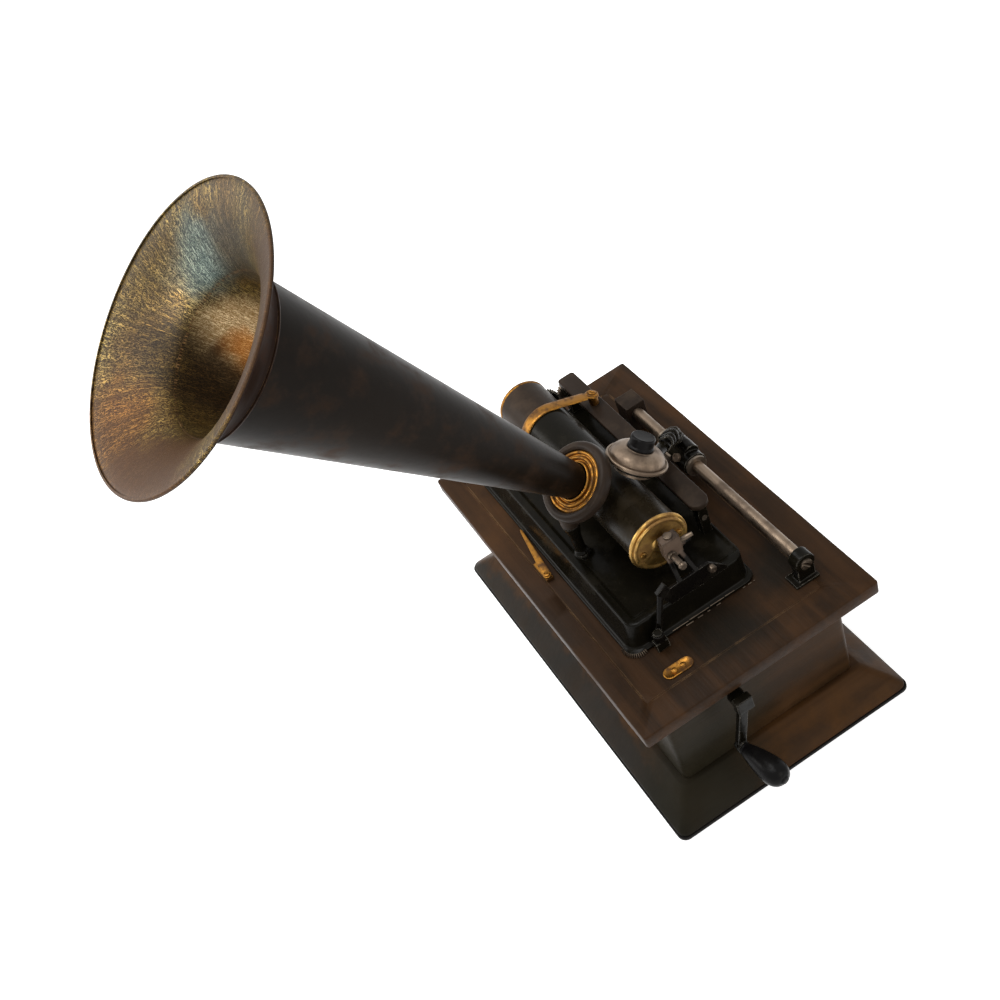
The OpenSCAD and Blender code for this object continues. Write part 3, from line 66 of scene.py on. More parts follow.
deck_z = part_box("deck_board")[1].z
mandrel_place = Vector(joints["mandrel_turn"]["pos_m"])
horn_place = Vector(joints["horn_turn"]["pos_m"])
horn_axis = Vector(joints["horn_turn"]["axis"])
box_place = Vector(joints["knob_turn"]["pos_m"])
box_axis = Vector(joints["knob_turn"]["axis"])


# Settings and shader building


def set_all(thing, settings):
    """Sets several properties by name."""
    for name, value in settings.items():
        setattr(thing, name, value)


def set_inputs(tree, sockets, inputs):
    """Links shader sockets to other nodes, or sets their values."""
    for name, value in inputs.items():
        if isinstance(value, bpy.types.NodeSocket):
            tree.links.new(value, sockets[name])
        else:
            sockets[name].default_value = value


def add(tree, kind, inputs=None, **settings):
    """Adds a shader node, sets its options, and sets or links its inputs."""
    made = tree.nodes.new("ShaderNode" + kind)
    set_all(made, settings)
    set_inputs(tree, made.inputs, inputs or {})
    return made


def maths(tree, operation, *values):
    """Adds a Math node and returns its value."""
    return add(tree, "Math", dict(enumerate(values)), operation=operation).outputs[0]


def vector_maths(tree, operation, *values):
    """Adds a Vector Math node and returns its number for a length or product, else its vector."""
    made = add(tree, "VectorMath", dict(enumerate(values)), operation=operation)
    return made.outputs["Value" if operation in ("DISTANCE", "DOT_PRODUCT", "LENGTH") else "Vector"]


def scaled(tree, vector, factor):
    """Multiplies a vector by a number."""
    return add(tree, "VectorMath", {0: vector, "Scale": factor}, operation="SCALE").outputs["Vector"]


def noise_value(tree, place, scale, detail, **more):
    """Adds a noise texture and returns its value."""
    inputs = {"Vector": place, "Scale": scale, "Detail": detail, **more}
    return add(tree, "TexNoise", inputs).outputs["Fac"]


def own_place(tree):
    """Place on the piece, in the piece's own axes."""
    return add(tree, "TexCoord").outputs["Object"]


def step(tree, value, low, high, to_low=0.0, to_high=1.0):
    """Smooth step of a value between two limits."""
    limits = {"From Min": low, "From Max": high, "To Min": to_low, "To Max": to_high}
    made = add(tree, "MapRange", {"Value": value, **limits}, interpolation_type="SMOOTHSTEP")
    return made.outputs["Result"]


def mix(tree, factor, first, second):
    """Mixes two colours by a factor."""
    return add(tree, "Mix", {0: factor, 6: first, 7: second}, data_type="RGBA").outputs[2]


def tone(red, green, blue):
    """Colour from screen values of 0 to 255."""
    linear = [((value / 255 + 0.055) / 1.055) ** 2.4 for value in (red, green, blue)]
    return (*linear, 1.0)


def new_group(name, inputs, output="Mask"):
    """Starts a shader group; returns its tree, its inputs and its outputs."""
    tree = bpy.data.node_groups.new(name, "ShaderNodeTree")
    for label, value in inputs.items():
        kind = "NodeSocketVector" if isinstance(value, tuple) else "NodeSocketFloat"
        tree.interface.new_socket(label, in_out="INPUT", socket_type=kind).default_value = value
    for label in output.split():
        tree.interface.new_socket(label, in_out="OUTPUT", socket_type="NodeSocketFloat")
    return tree, tree.nodes.new("NodeGroupInput").outputs, tree.nodes.new("NodeGroupOutput").inputs


def use(tree, group, inputs, output="Mask"):
    """Places a shader group in a material and returns one of its outputs."""
    return add(tree, "Group", inputs, node_tree=group).outputs[output]


# Shared effects


def worn_and_highlit_edges_group():
    """Mask of the outer edges, broken up as by handling; the lighter tone it lays on is wear and also painted edge
    highlight.
    """
    inputs = {"Width": 1 * MM, "Break Scale": 60.0, "Amount": 1.0}
    tree, given, out = new_group("worn and highlit edges", inputs)
    rounded = add(tree, "Bevel", {"Radius": given["Width"]}, samples=6).outputs["Normal"]
    true_normal = add(tree, "NewGeometry").outputs["Normal"]
    likeness = vector_maths(tree, "DOT_PRODUCT", rounded, true_normal)
    edge = step(tree, maths(tree, "SUBTRACT", 1.0, likeness), 0.015, 0.12)
    breaks = noise_value(tree, own_place(tree), given["Break Scale"], 4.0)
    kept = step(tree, breaks, 0.4, 0.62, 0.25, 1.0)
    mask = maths(tree, "MULTIPLY", maths(tree, "MULTIPLY", edge, kept), given["Amount"])
    tree.links.new(mask, out["Mask"])
    return tree


def long_grain_group():
    """Wood figure drawn out along one direction, with its pores as height."""
    inputs = {"Stretch": (1.0, 12.0, 12.0), "Scale": 10.0}
    tree, given, out = new_group("long grain", inputs, "Figure Height")
    drawn = vector_maths(tree, "MULTIPLY", own_place(tree), given["Stretch"])
    bands = noise_value(tree, drawn, given["Scale"], 5.0, Distortion=0.6)
    pores = noise_value(tree, drawn, maths(tree, "MULTIPLY", given["Scale"], 5.0), 3.0)
    tree.links.new(step(tree, bands, 0.3, 0.7), out["Figure"])
    tree.links.new(step(tree, pores, 0.35, 0.65), out["Height"])
    return tree


def patches_group():
    """Soft uneven patches, such as handling, dust or patina."""
    inputs = {"Scale": 20.0, "Low": 0.4, "High": 0.65}
    tree, given, out = new_group("soft patches", inputs)
    cloud = noise_value(tree, own_place(tree), given["Scale"], 6.0, Roughness=0.6)
    tree.links.new(step(tree, cloud, given["Low"], given["High"]), out["Mask"])
    return tree


def ripple_group():
    """Height of a hand-finished surface: slow ripples and a fine tooth."""
    inputs = {"Ripple Scale": 120.0, "Tooth Scale": 900.0, "Tooth": 0.3}
    tree, given, out = new_group("hand ripple", inputs, "Height")
    place = own_place(tree)
    slow = noise_value(tree, place, given["Ripple Scale"], 3.0)
    fine = noise_value(tree, place, given["Tooth Scale"], 2.0)
    tooth = maths(tree, "MULTIPLY", fine, given["Tooth"])
    tree.links.new(maths(tree, "ADD", slow, tooth), out["Height"])
    return tree


def ray_strokes_group():
    """Brush strokes that run out from a turned piece's own axis."""
    inputs = {"Fineness": 60.0, "Length": 12.0, "Sway": 0.05, "Sway Scale": 25.0, "Low": 0.5, "High": 0.62}
    tree, given, out = new_group("ray strokes", inputs)
    place = own_place(tree)
    inputs = {"Vector": place, "Scale": given["Sway Scale"], "Detail": 2.0}
    sway = add(tree, "TexNoise", inputs).outputs["Color"]
    swayed = scaled(tree, vector_maths(tree, "SUBTRACT", sway, (0.5, 0.5, 0.5)), given["Sway"])
    parts = add(tree, "SeparateXYZ", {"Vector": place}).outputs
    flat = add(tree, "CombineXYZ", {"X": parts["X"], "Y": parts["Y"]}).outputs["Vector"]
    bent = vector_maths(tree, "ADD", vector_maths(tree, "NORMALIZE", flat), swayed)
    around = scaled(tree, bent, given["Fineness"])
    run = maths(tree, "MULTIPLY", vector_maths(tree, "LENGTH", flat), given["Length"])
    outward = add(tree, "CombineXYZ", {"Z": run}).outputs["Vector"]
    lines = noise_value(tree, vector_maths(tree, "ADD", around, outward), 1.0, 3.0, Roughness=0.65)
    tree.links.new(step(tree, lines, given["Low"], given["High"]), out["Mask"])
    return tree


def soft_spot_group():
    """Uneven round patch about one place on a piece."""
    inputs = {"Middle": (0.0, 0.0, 0.0), "Inner": 10 * MM, "Outer": 40 * MM, "Drift": 20 * MM}
    tree, given, out = new_group("soft spot", inputs)
    place = own_place(tree)
    away = vector_maths(tree, "DISTANCE", place, given["Middle"])
    cloud = noise_value(tree, place, 45.0, 4.0)
    drift = maths(tree, "MULTIPLY", maths(tree, "SUBTRACT", cloud, 0.5), given["Drift"])
    reach = maths(tree, "ADD", away, drift)
    tree.links.new(step(tree, reach, given["Inner"], given["Outer"], 1.0, 0.0), out["Mask"])
    return tree


worn_and_highlit_edges = worn_and_highlit_edges_group()
long_grain = long_grain_group()
soft_patches = patches_group()
hand_ripple = ripple_group()
ray_strokes = ray_strokes_group()
soft_spot = soft_spot_group()


# Finishes

PAINT_GLOSS = 0.07
METAL_GLOSS = 0.5
BELL_GLOSS = 0.15


def new_finish(name, gloss):
    """Starts a material; returns it, its tree and its shader."""
    material = bpy.data.materials.new(name)
    material.use_nodes = True
    shader = material.node_tree.nodes["Principled BSDF"]
    shader.inputs["Specular IOR Level"].default_value = gloss
    return material, material.node_tree, shader


def feed(tree, shader, height, depth, strength, **inputs):
    """Feeds a material's shader: its inputs, and a height as bump."""
    bump = add(tree, "Bump", {"Height": height, "Distance": depth, "Strength": strength})
    named = {name.replace("_", " "): value for name, value in inputs.items()}
    set_inputs(tree, shader.inputs, {**named, "Normal": bump.outputs["Normal"]})


def spot_mask(tree, middle, inner, outer, drift, amount):
    """Strength of an uneven round patch, whose place and reach are given in mm."""
    inputs = {"Middle": [value * MM for value in middle], "Inner": inner * MM, "Outer": outer * MM}
    return maths(tree, "MULTIPLY", use(tree, soft_spot, {**inputs, "Drift": drift * MM}), amount)


def with_spots(tree, colour, spots):
    """Lays uneven patches of other tones over a colour."""
    for middle, inner, outer, shade, amount in spots:
        colour = mix(tree, spot_mask(tree, middle, inner, outer, 30, amount), colour, tone(*shade))
    return colour


def wood_finish(name, dark, light, worn, stretch, scale, spots=()):
    """Wood with its grain and handled patches, edges lighter for wear and painted edge highlight, and laid-on
    patches that on the deck and case are mostly painted shade.
    """
    material, tree, shader = new_finish(name, PAINT_GLOSS)
    figure = use(tree, long_grain, {"Stretch": stretch, "Scale": scale}, "Figure")
    pores = figure.node.outputs["Height"]
    dust = use(tree, soft_patches, {"Scale": 14.0, "Low": 0.42, "High": 0.7})
    wear_and_highlight = use(tree, worn_and_highlit_edges, {"Width": 1.2 * MM, "Break Scale": 45.0, "Amount": 0.6})
    colour = mix(tree, maths(tree, "MULTIPLY", figure, 0.4), tone(*dark), tone(*light))
    dusty = mix(tree, maths(tree, "MULTIPLY", dust, 0.45), colour, tone(*light))
    # laid-on patches: on the deck and case mostly painted shade and painted shadow
    shaded_and_patched = with_spots(tree, dusty, spots)
    feed(tree, shader, pores, 0.15 * MM, 0.5,
         # lighter edge tone: wear, and painted edge highlights
         Base_Color=mix(tree, wear_and_highlight, shaded_and_patched, tone(*worn)),
         Roughness=step(tree, dust, 0.0, 1.0, 0.42, 0.6))
    return material


def enamel_finish(name, black, dusty, worn, rough, wear=0.7, edge=0.8, spots=()):
    """Black enamel brushed over a casting, thin along edges of a width in mm, where a pale tone is wear and also
    painted edge highlight.
    """
    material, tree, shader = new_finish(name, PAINT_GLOSS)
    dust = use(tree, soft_patches, {"Scale": 35.0, "Low": 0.45, "High": 0.75})
    wear_and_highlight = use(tree, worn_and_highlit_edges, {"Width": edge * MM, "Break Scale": 130.0, "Amount": wear})
    colour = mix(tree, maths(tree, "MULTIPLY", dust, 0.6), tone(*black), tone(*dusty))
    colour = with_spots(tree, colour, spots)
    ripple = {"Ripple Scale": 90.0, "Tooth Scale": 700.0, "Tooth": 0.15}
    feed(tree, shader, use(tree, hand_ripple, ripple, "Height"), 0.25 * MM, 0.6,
         # pale edge tone: wear, and painted edge highlights along the casting's edges
         Base_Color=mix(tree, wear_and_highlight, colour, tone(*worn)),
         Roughness=step(tree, dust, 0.0, 1.0, rough, rough + 0.2))
    return material


def metal_finish(name, bright, dull, rough, patina, scale):
    """Bare metal under a broken patina, bright again at its edges."""
    material, tree, shader = new_finish(name, METAL_GLOSS)
    bright = tone(*bright)
    age = use(tree, soft_patches, {"Scale": scale, "Low": 0.4, "High": 0.68})
    aged = maths(tree, "MULTIPLY", age, patina)
    wear_and_highlight = use(tree, worn_and_highlit_edges, {"Width": 0.7 * MM, "Break Scale": 200.0, "Amount": 0.5})
    colour = mix(tree, aged, bright, tone(*dull))
    ripple = {"Ripple Scale": 160.0, "Tooth Scale": 1500.0, "Tooth": 0.3}
    feed(tree, shader, use(tree, hand_ripple, ripple, "Height"), 0.1 * MM, 0.5,
         Base_Color=mix(tree, wear_and_highlight, colour, bright),
         Metallic=step(tree, aged, 0.0, 1.0, 1.0, 0.7),
         Roughness=step(tree, aged, 0.0, 1.0, rough, rough + 0.25))
    return material


def bell_finish(name, spots):
    """Inside of the horn: gold brushed outward over an olive and brown patina, with spots of painted reflection,
    painted highlight and painted shade.
    """
    material, tree, shader = new_finish(name, BELL_GLOSS)
    bristle = {"Fineness": 150.0, "Length": 95.0, "Sway": 0.09, "Sway Scale": 70.0}
    fine = use(tree, ray_strokes, {**bristle, "Low": 0.52, "High": 0.6})
    crossed = {"Fineness": 90.0, "Length": 160.0, "Sway": 0.3, "Sway Scale": 90.0}
    stray = use(tree, ray_strokes, {**crossed, "Low": 0.55, "High": 0.63})
    long = {"Fineness": 34.0, "Length": 16.0, "Sway": 0.06, "Sway Scale": 20.0}
    broad = use(tree, ray_strokes, {**long, "Low": 0.4, "High": 0.64})
    cloud = use(tree, soft_patches, {"Scale": 11.0, "Low": 0.36, "High": 0.62})
    under = mix(tree, cloud, tone(18, 12, 5), tone(40, 29, 13))
    gold = mix(tree, cloud, tone(170, 146, 86), tone(118, 90, 44))
    strokes = maths(tree, "MAXIMUM", fine, maths(tree, "MULTIPLY", stray, 0.8))
    strokes = maths(tree, "MULTIPLY", strokes, maths(tree, "MULTIPLY_ADD", broad, 0.65, 0.35))
    # spots of painted reflection, painted highlight and painted shade, and of patina
    for middle, inner, outer, dark, light, amount in spots:
        spot = spot_mask(tree, middle, inner, outer, 40, amount)
        under = mix(tree, spot, under, tone(*dark))
        gold = mix(tree, spot, gold, tone(*light))
    feed(tree, shader, fine, 0.1 * MM, 0.5,
         Base_Color=mix(tree, strokes, under, gold),
         Metallic=step(tree, strokes, 0.0, 1.0, 0.3, 0.65),
         Roughness=step(tree, strokes, 0.0, 1.0, 0.46, 0.36))
    return material


# Painted light, painted shade and patina on the bell, in mm from the collar: middle, inner and outer reach, dark
# under-tone, gold tone, strength
BELL_LIGHT_AND_PATINA = (
    # painted reflection of a window: blue-grey, and greyer beside it
    ((-64, 42, 392), 12, 44, (40, 52, 54), (126, 144, 138), 0.9),
    ((-25, 66, 388), 12, 46, (36, 34, 30), (96, 88, 72), 0.8),
    # painted highlights: a pale broad one and a small orange one
    ((-59, 2, 336), 16, 48, (120, 94, 58), (255, 236, 196), 0.95),
    ((-55, -12, 331), 6, 22, (130, 74, 24), (240, 180, 96), 0.85),
    # painted shade: dark spots down towards the throat
    ((-44, -42, 345), 16, 48, (18, 12, 6), (70, 50, 28), 0.92),
    ((-60, -34, 392), 12, 48, (14, 10, 5), (76, 58, 34), 0.75),
    # browner and duller gold towards the rim
    ((-30, -100, 410), 22, 62, (42, 24, 9), (122, 82, 38), 0.85),
    ((60, -92, 412), 40, 84, (50, 32, 17), (72, 48, 27), 0.95),
    ((90, 60, 412), 44, 92, (48, 32, 18), (72, 50, 30), 0.95),
    ((-104, 20, 412), 16, 66, (24, 19, 7), (118, 100, 54), 0.6),
)
# Patches laid over a finish, in mm: middle, inner and outer reach, tone, strength; painted shadow and a paler
# patch on the deck, painted shade on the case, the gate block's own paler tone
DECK_SHADOWS_AND_PATCH = (
    # painted shadow beside the end gate at the pan's crank end, and beside the front rod post
    ((160, -5, 166), 8, 70, (12, 13, 9), 0.85),
    ((142, 72, 166), 10, 48, (14, 14, 10), 0.8),
    # a paler, greyer patch near the deck's front edge
    ((60, -104, 166), 20, 130, (46, 34, 25), 0.5),
)
CASE_PAINTED_SHADE = (
    # painted shade: the case's front face darker and greyer
    ((0, -2112, 20), 1996, 2010, (34, 33, 30), 0.85),
    # painted shade towards the crank-side front corner
    ((236, -110, 15), 60, 118, (20, 19, 12), 0.92),
    ((192, -84, 90), 56, 118, (34, 30, 20), 0.85),
)
GATE_SPOTS = (((113, -10, 244), 9, 17, (104, 88, 76), 0.9),)
ALONG_X = (1.0, 11.0, 11.0)
ALONG_Y = (11.0, 1.0, 11.0)

# Dark and light figure, edge tone (wear and painted edge highlight), grain direction, grain scale, patches of
# painted shade and tone
WOODS = {
    "ebonised_wood": ((34, 22, 11), (74, 49, 28), (136, 106, 74), ALONG_X, 5.0, DECK_SHADOWS_AND_PATCH),
    "dark_walnut": ((38, 26, 14), (78, 53, 30), (126, 94, 62), ALONG_Y, 4.0, CASE_PAINTED_SHADE),
    "plinth_stain": ((46, 30, 15), (96, 64, 33), (146, 112, 74), ALONG_Y, 4.0, CASE_PAINTED_SHADE),
    "plain_board": ((92, 64, 40), (132, 98, 64), (160, 126, 88), ALONG_X, 9.0),
    "leather_belt": ((58, 38, 24), (96, 66, 42), (120, 88, 60), ALONG_X, 9.0),
}
# Clean and dusty black, pale edge tone (wear and painted edge highlight), roughness, strength of the edge tone,
# edge width in mm, worn places
ENAMELS = {
    "strip_black": ((14, 13, 12), (30, 27, 24), (70, 62, 54), 0.5),
    "black_enamel": ((15, 13, 8), (30, 26, 17), (168, 160, 146), 0.2, 0.9, 1.5),
    "black_wax": ((28, 23, 15), (50, 42, 30), (84, 72, 60), 0.26, 0.4),
    "horn_black": ((18, 12, 6), (52, 36, 24), (92, 68, 48), 0.36, 0.4),
    "black_rubber": ((14, 13, 13), (30, 28, 26), (104, 100, 94), 0.3),
    "bell_back_brown": ((30, 18, 11), (58, 35, 22), (140, 108, 76), 0.42, 0.6),
    "satin_brown_black": ((38, 30, 24), (62, 51, 41), (140, 126, 110), 0.36, 0.9),
    "worn_gate_black": ((12, 10, 8), (30, 26, 20), (150, 142, 130), 0.24, 0.9, 0.8, GATE_SPOTS),
}
# Bright and dull metal, roughness, patina, scale of its patches
METALS = {
    "brass": ((144, 100, 42), (62, 38, 14), 0.36, 0.9, 110.0),
    "aged_brass": ((150, 112, 56), (50, 34, 16), 0.38, 0.95, 70.0),
    "disc_brass": ((190, 152, 86), (92, 62, 28), 0.34, 0.85, 60.0),
    "silver_metal": ((128, 112, 96), (70, 56, 44), 0.36, 0.75, 50.0),
    "steel": ((136, 124, 110), (76, 64, 52), 0.36, 0.75, 70.0),
    "dark_steel": ((96, 84, 72), (44, 36, 28), 0.36, 0.8, 120.0),
    "spring_steel": ((120, 122, 128), (56, 58, 70), 0.35, 0.6, 70.0),
    "mica": ((200, 190, 160), (150, 136, 108), 0.3, 0.5, 40.0),
}
finish = {"brushed_bell_gold": bell_finish("brushed_bell_gold", BELL_LIGHT_AND_PATINA)}
for make_finish, table in ((wood_finish, WOODS), (enamel_finish, ENAMELS), (metal_finish, METALS)):
    for name, values in table.items():
        finish[name] = make_finish(name, *values)


# Shape building


def linked(name, data):
    """Makes an object of a mesh, lamp or camera and puts it in the scene."""
    made = bpy.data.objects.new(name, data)
    bpy.context.scene.collection.objects.link(made)
    return made


def dress(piece, node, *coats):
    """Lets a piece stand for a CAD node: its place, its body, its slot and its finishes."""
    piece.data.materials.clear()
    for coat in coats or (slot_of[node],):
        piece.data.materials.append(finish[coat])
    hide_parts(node)
    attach(piece, body_of[node])


def carry(node):
    """Keeps a CAD node's own shape and gives it its finish."""
    nodes[node].data.materials.clear()
    nodes[node].data.materials.append(finish[slot_of[node]])


def modify(piece, name, kind, **settings):
    """Adds a modifier to a piece."""
    set_all(piece.modifiers.new(name, kind), settings)


def new_piece(name, points, faces, matrix=None, sharp=38):
    """Makes an object from points and faces, shaded softly up to an angle in degrees."""
    mesh = bpy.data.meshes.new(name)
    mesh.from_pydata(points, [], faces)
    mesh.validate()
    mesh.shade_smooth()
    mesh.set_sharp_from_angle(angle=radians(sharp))
    piece = linked(name, mesh)
    if matrix is not None:
        piece.matrix_world = matrix
    return piece


def skin(rows, size, ring=False):
    """Faces between rows of points that run round a piece, closed by end faces or as a ring."""
    faces = []
    for row in range(rows if ring else rows - 1):
        low = row * size
        high = (row + 1) % rows * size
        for index in range(size):
            ahead = (index + 1) % size
            faces.append([low + index, low + ahead, high + ahead, high + index])
    if not ring:
        faces += [list(reversed(range(size))), list(range((rows - 1) * size, rows * size))]
    return faces


def axis_matrix(place, axis):
    """Local Z along an axis, and local X as near the machine's X as it can be."""
    z = axis.normalized()
    side = UP if abs(z.x) > 0.9 else X_AXIS
    y = z.cross(side).normalized()
    x = y.cross(z)
    return Matrix.Translation(place) @ Matrix((x, y, z)).transposed().to_4x4()


def on_deck(x, y, up=0.0):
    """Place on the deck or above it, from distances in mm."""
    return Vector((x * MM, y * MM, deck_z + up * MM))


def fillet(outline, radius, steps=3):
    """Rounds each corner of a closed outline of (r, z) points; all in mm."""
    rounded = []
    count = len(outline)
    for index, corner in enumerate(outline):
        corner = Vector(corner)
        before = Vector(outline[index - 1]) - corner
        after = Vector(outline[(index + 1) % count]) - corner
        size = min(radius, before.length * 0.45, after.length * 0.45)
        if min(corner.x, size) < TINY:
            rounded.append(corner)
            continue
        start = corner + before.normalized() * size
        end = corner + after.normalized() * size
        for part in range(steps + 1):
            t = part / steps
            rounded.append(start.lerp(corner, t).lerp(corner.lerp(end, t), t))
    return rounded


def turned(name, outline, place, axis, steps=96, wobble=0.0, flats=0.0):
    """Turns a closed outline of (r, z) points about an axis; outline, wobble and flats in mm.

    With flats, the distance to six flat sides, the turned shape is cut to a hexagon.
    """
    points, rings = [], []
    for r, z in outline:
        z *= MM
        if r < TINY:
            rings.append([len(points)] * steps)
            points.append((0, 0, z))
            continue
        rings.append(list(range(len(points), len(points) + steps)))
        for index in range(steps):
            angle = 2 * pi * index / steps
            direction = Vector((cos(angle), sin(angle), 0))
            lift = wobble * MM * noise.noise(direction * 1.7 + Vector((0, 0, z * 4)))
            reach = r
            if flats:
                from_flat = (angle + pi / 6) % (pi / 3) - pi / 6
                reach = min(r, flats / cos(from_flat))
            points.append(direction * (reach * MM + lift) + Vector((0, 0, z + lift * 0.6)))
    faces = []
    for ring, following in zip(rings, rings[1:] + rings[:1]):
        for index in range(steps):
            ahead = (index + 1) % steps
            corners = [ring[index], ring[ahead], following[ahead], following[index]]
            unique = list(dict.fromkeys(corners))
            if len(unique) > 2:
                faces.append(unique)
    return new_piece(name, points, faces, axis_matrix(place, axis))


def rounded_rectangle(x0, x1, y0, y1, corner, z, wobble):
    """One loop of points round a rectangle, even along its sides so that edges can waver."""
    along, across, bend = 44, 26, 5
    centres = ((x1 - corner, y1 - corner), (x0 + corner, y1 - corner),
               (x0 + corner, y0 + corner), (x1 - corner, y0 + corner))
    bends = [arc(centre, corner, 90 * turn, 90 * turn + 90, bend) for turn, centre in enumerate(centres)]
    middle = Vector(((x0 + x1) / 2, (y0 + y1) / 2))
    loop = []
    for turn, points in enumerate(bends):
        following = bends[(turn + 1) % 4][0]
        count = across if turn % 2 else along
        side = [points[-1].lerp(following, part / count) for part in range(1, count)]
        for point in points + side:
            drift = wobble * noise.noise(Vector((point.x * 14, point.y * 14, z * 40)))
            loop.append((*(point + (point - middle).normalized() * drift), z + drift * 0.5))
    return loop


def lofted(name, levels, ring=False):
    """Joins rectangle loops into a skin, closed by its end faces or back on itself."""
    loops = [rounded_rectangle(*level) for level in levels]
    points = [point for loop in loops for point in loop]
    return new_piece(name, points, skin(len(loops), len(loops[0]), ring), sharp=50)


def drawn_in(outline, by):
    """A flat outline moved inward along its corner normals."""
    moved = []
    count = len(outline)
    for index, point in enumerate(outline):
        before = (point - outline[index - 1]).normalized()
        after = (outline[(index + 1) % count] - point).normalized()
        inward = Vector((-before.y - after.y, before.x + after.x)).normalized()
        stretch = 1 / max(inward.dot(Vector((-before.y, before.x))), 0.5)
        moved.append(point + inward * by * stretch)
    return moved


def eased(low, high, ease, steps=3):
    """Levels of a slab with rounded lower and upper edges."""
    turns = [pi / 2 * part / steps for part in range(steps + 1)]
    lower = [(ease * (1 - sin(turn)), low + ease * (1 - cos(turn))) for turn in turns]
    upper = [(ease * (1 - cos(turn)), high - ease * (1 - sin(turn))) for turn in turns]
    return lower + upper


def slab(name, outline, levels, matrix=None):
    """Raises a flat outline through levels of (distance drawn in, height); all in mm."""
    outline = [Vector(point) for point in outline]
    points = [Vector((*point, z)) * MM for by, z in levels for point in drawn_in(outline, by)]
    return new_piece(name, points, skin(len(levels), len(outline)), matrix, 45)


def arc(centre, radius, start, end, count=12):
    """Points on a circle between two angles in degrees."""
    middle = Vector(centre)
    angles = [radians(start + (end - start) * index / count) for index in range(count + 1)]
    return [middle + radius * Vector((cos(angle), sin(angle))) for angle in angles]


def joined(first, *others):
    """Joins pieces into the first one's mesh."""
    whole = bmesh.new()
    back = first.matrix_world.inverted()
    for piece in (first, *others):
        part = piece.data.copy()
        part.transform(back @ piece.matrix_world)
        whole.from_mesh(part)
    whole.to_mesh(first.data)
    whole.free()
    for piece in others:
        bpy.data.objects.remove(piece)
    return first


def addition(name, pieces, node, coat):
    """Joins small pieces that go with a CAD node into one more piece on its body."""
    whole = joined(*pieces)
    whole.name = name
    whole.data.materials.append(finish[coat])
    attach(whole, body_of[node])


def slotted_head(name, radius, height, place, axis, turn=0.0):
    """Round screw head with a cut slot; radius and height in mm."""
    half_slot = radius * 0.13
    floor = height * 0.5
    edge = degrees(asin(half_slot / radius))
    matrix = axis_matrix(place, axis) @ Matrix.Rotation(radians(turn), 4, "Z")
    base = slab(name, arc((0, 0), radius, 0, 345, 23), eased(0, floor, 0.15 * floor), matrix)
    levels = [(0, floor * 0.9), (0, height * 0.8), (radius * 0.1, height * 0.95),
              (radius * 0.2, height)]
    halves = []
    for side in (0, 180):
        outline = arc((0, 0), radius * 0.995, side + edge, side + 180 - edge, 16)
        halves.append(slab(name + "_half", outline, levels, matrix))
    return joined(base, *halves)


def hexagon_nut(name, radius, height, place, axis):
    """Six-sided nut with its corners turned away above and below; radius and height in mm."""
    flats = radius * cos(pi / 6)
    outline = [(0, 0), (flats * 1.01, 0), (radius, height * 0.15), (radius, height * 0.8),
               (flats * 0.99, height * 0.97), (radius * 0.5, height), (radius * 0.42, height * 0.8),
               (0, height * 0.8)]
    return turned(name, outline, place, axis, 48, flats=flats)


def casting(node, voxel, rounds, lumps):
    """Casting with soft corners and a hand-dressed skin, made over the node's own shape."""
    mesh = nodes[node].data.copy()
    mesh.name = node + "_cast"
    piece = linked(mesh.name, mesh)
    modify(piece, "skin", "REMESH", mode="VOXEL", voxel_size=voxel, use_smooth_shade=True)
    modify(piece, "soft corners", "SMOOTH", iterations=rounds, factor=0.5)
    surface = bpy.data.textures.new(mesh.name, "CLOUDS")
    surface.noise_scale = 12 * MM
    modify(piece, "hand dressing", "DISPLACE", texture=surface, texture_coords="LOCAL",
           strength=lumps, mid_level=0.5)
    return piece


# Case and base

CORNER = 6 * MM
FOOT_CORNER = 9 * MM
CASE_WALL = 9 * MM


def sides(box, by_x, by_y):
    """Sides of a box on the level, drawn in: x0, x1, y0, y1."""
    (x0, y0, _), (x1, y1, _) = box
    return x0 + by_x, x1 - by_x, y0 + by_y, y1 - by_y


def inset(box, by, z, corner, wobble=0.0):
    """One loft level: a box's outline drawn in by a distance, at a height."""
    return (*sides(box, by, by), max(corner - by, 0.4 * MM), z, wobble)


def make_plinth():
    """Sloped skirt with a narrow upright band at its foot and worn arrises."""
    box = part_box("base_skirt")
    low, high = box
    case_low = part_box("case_walls")[0]
    band = 3 * MM
    foot = ((20, 0, 0), (0.4, 0, 0.2), (0, 0.6, 0.2), (0, 1.9, 0.3), (0.3, 2.8, 0.3))
    levels = [inset(box, by * MM, low.z + up * MM, FOOT_CORNER, waver * MM) for by, up, waver in foot]
    slope_x = case_low.x - 4.4 * MM - low.x
    slope_y = case_low.y - 6.4 * MM - low.y
    for part in (0.04, 0.35, 0.7, 0.96):
        z = low.z + band + (high.z - low.z - band) * part
        levels.append((*sides(box, slope_x * part, slope_y * part), 7 * MM, z, 0.25 * MM))
    for ledge, waver in ((0.6 * MM, 0.2 * MM), (12.6 * MM, 0.0)):
        levels.append((*sides(box, slope_x + ledge, slope_y + ledge), CORNER, high.z, waver))
    dress(lofted("plinth_skirt", levels), "base_skirt", "plinth_stain")


def make_strip():
    """Black strip under the skirt, with its corners eased."""
    carry("base_strip")
    strip = nodes["base_strip"]
    modify(strip, "joined faces", "WELD", merge_threshold=0.005 * MM)
    modify(strip, "eased corners", "BEVEL", width=0.8 * MM, segments=2, limit_method="ANGLE",
           angle_limit=radians(35), harden_normals=False)


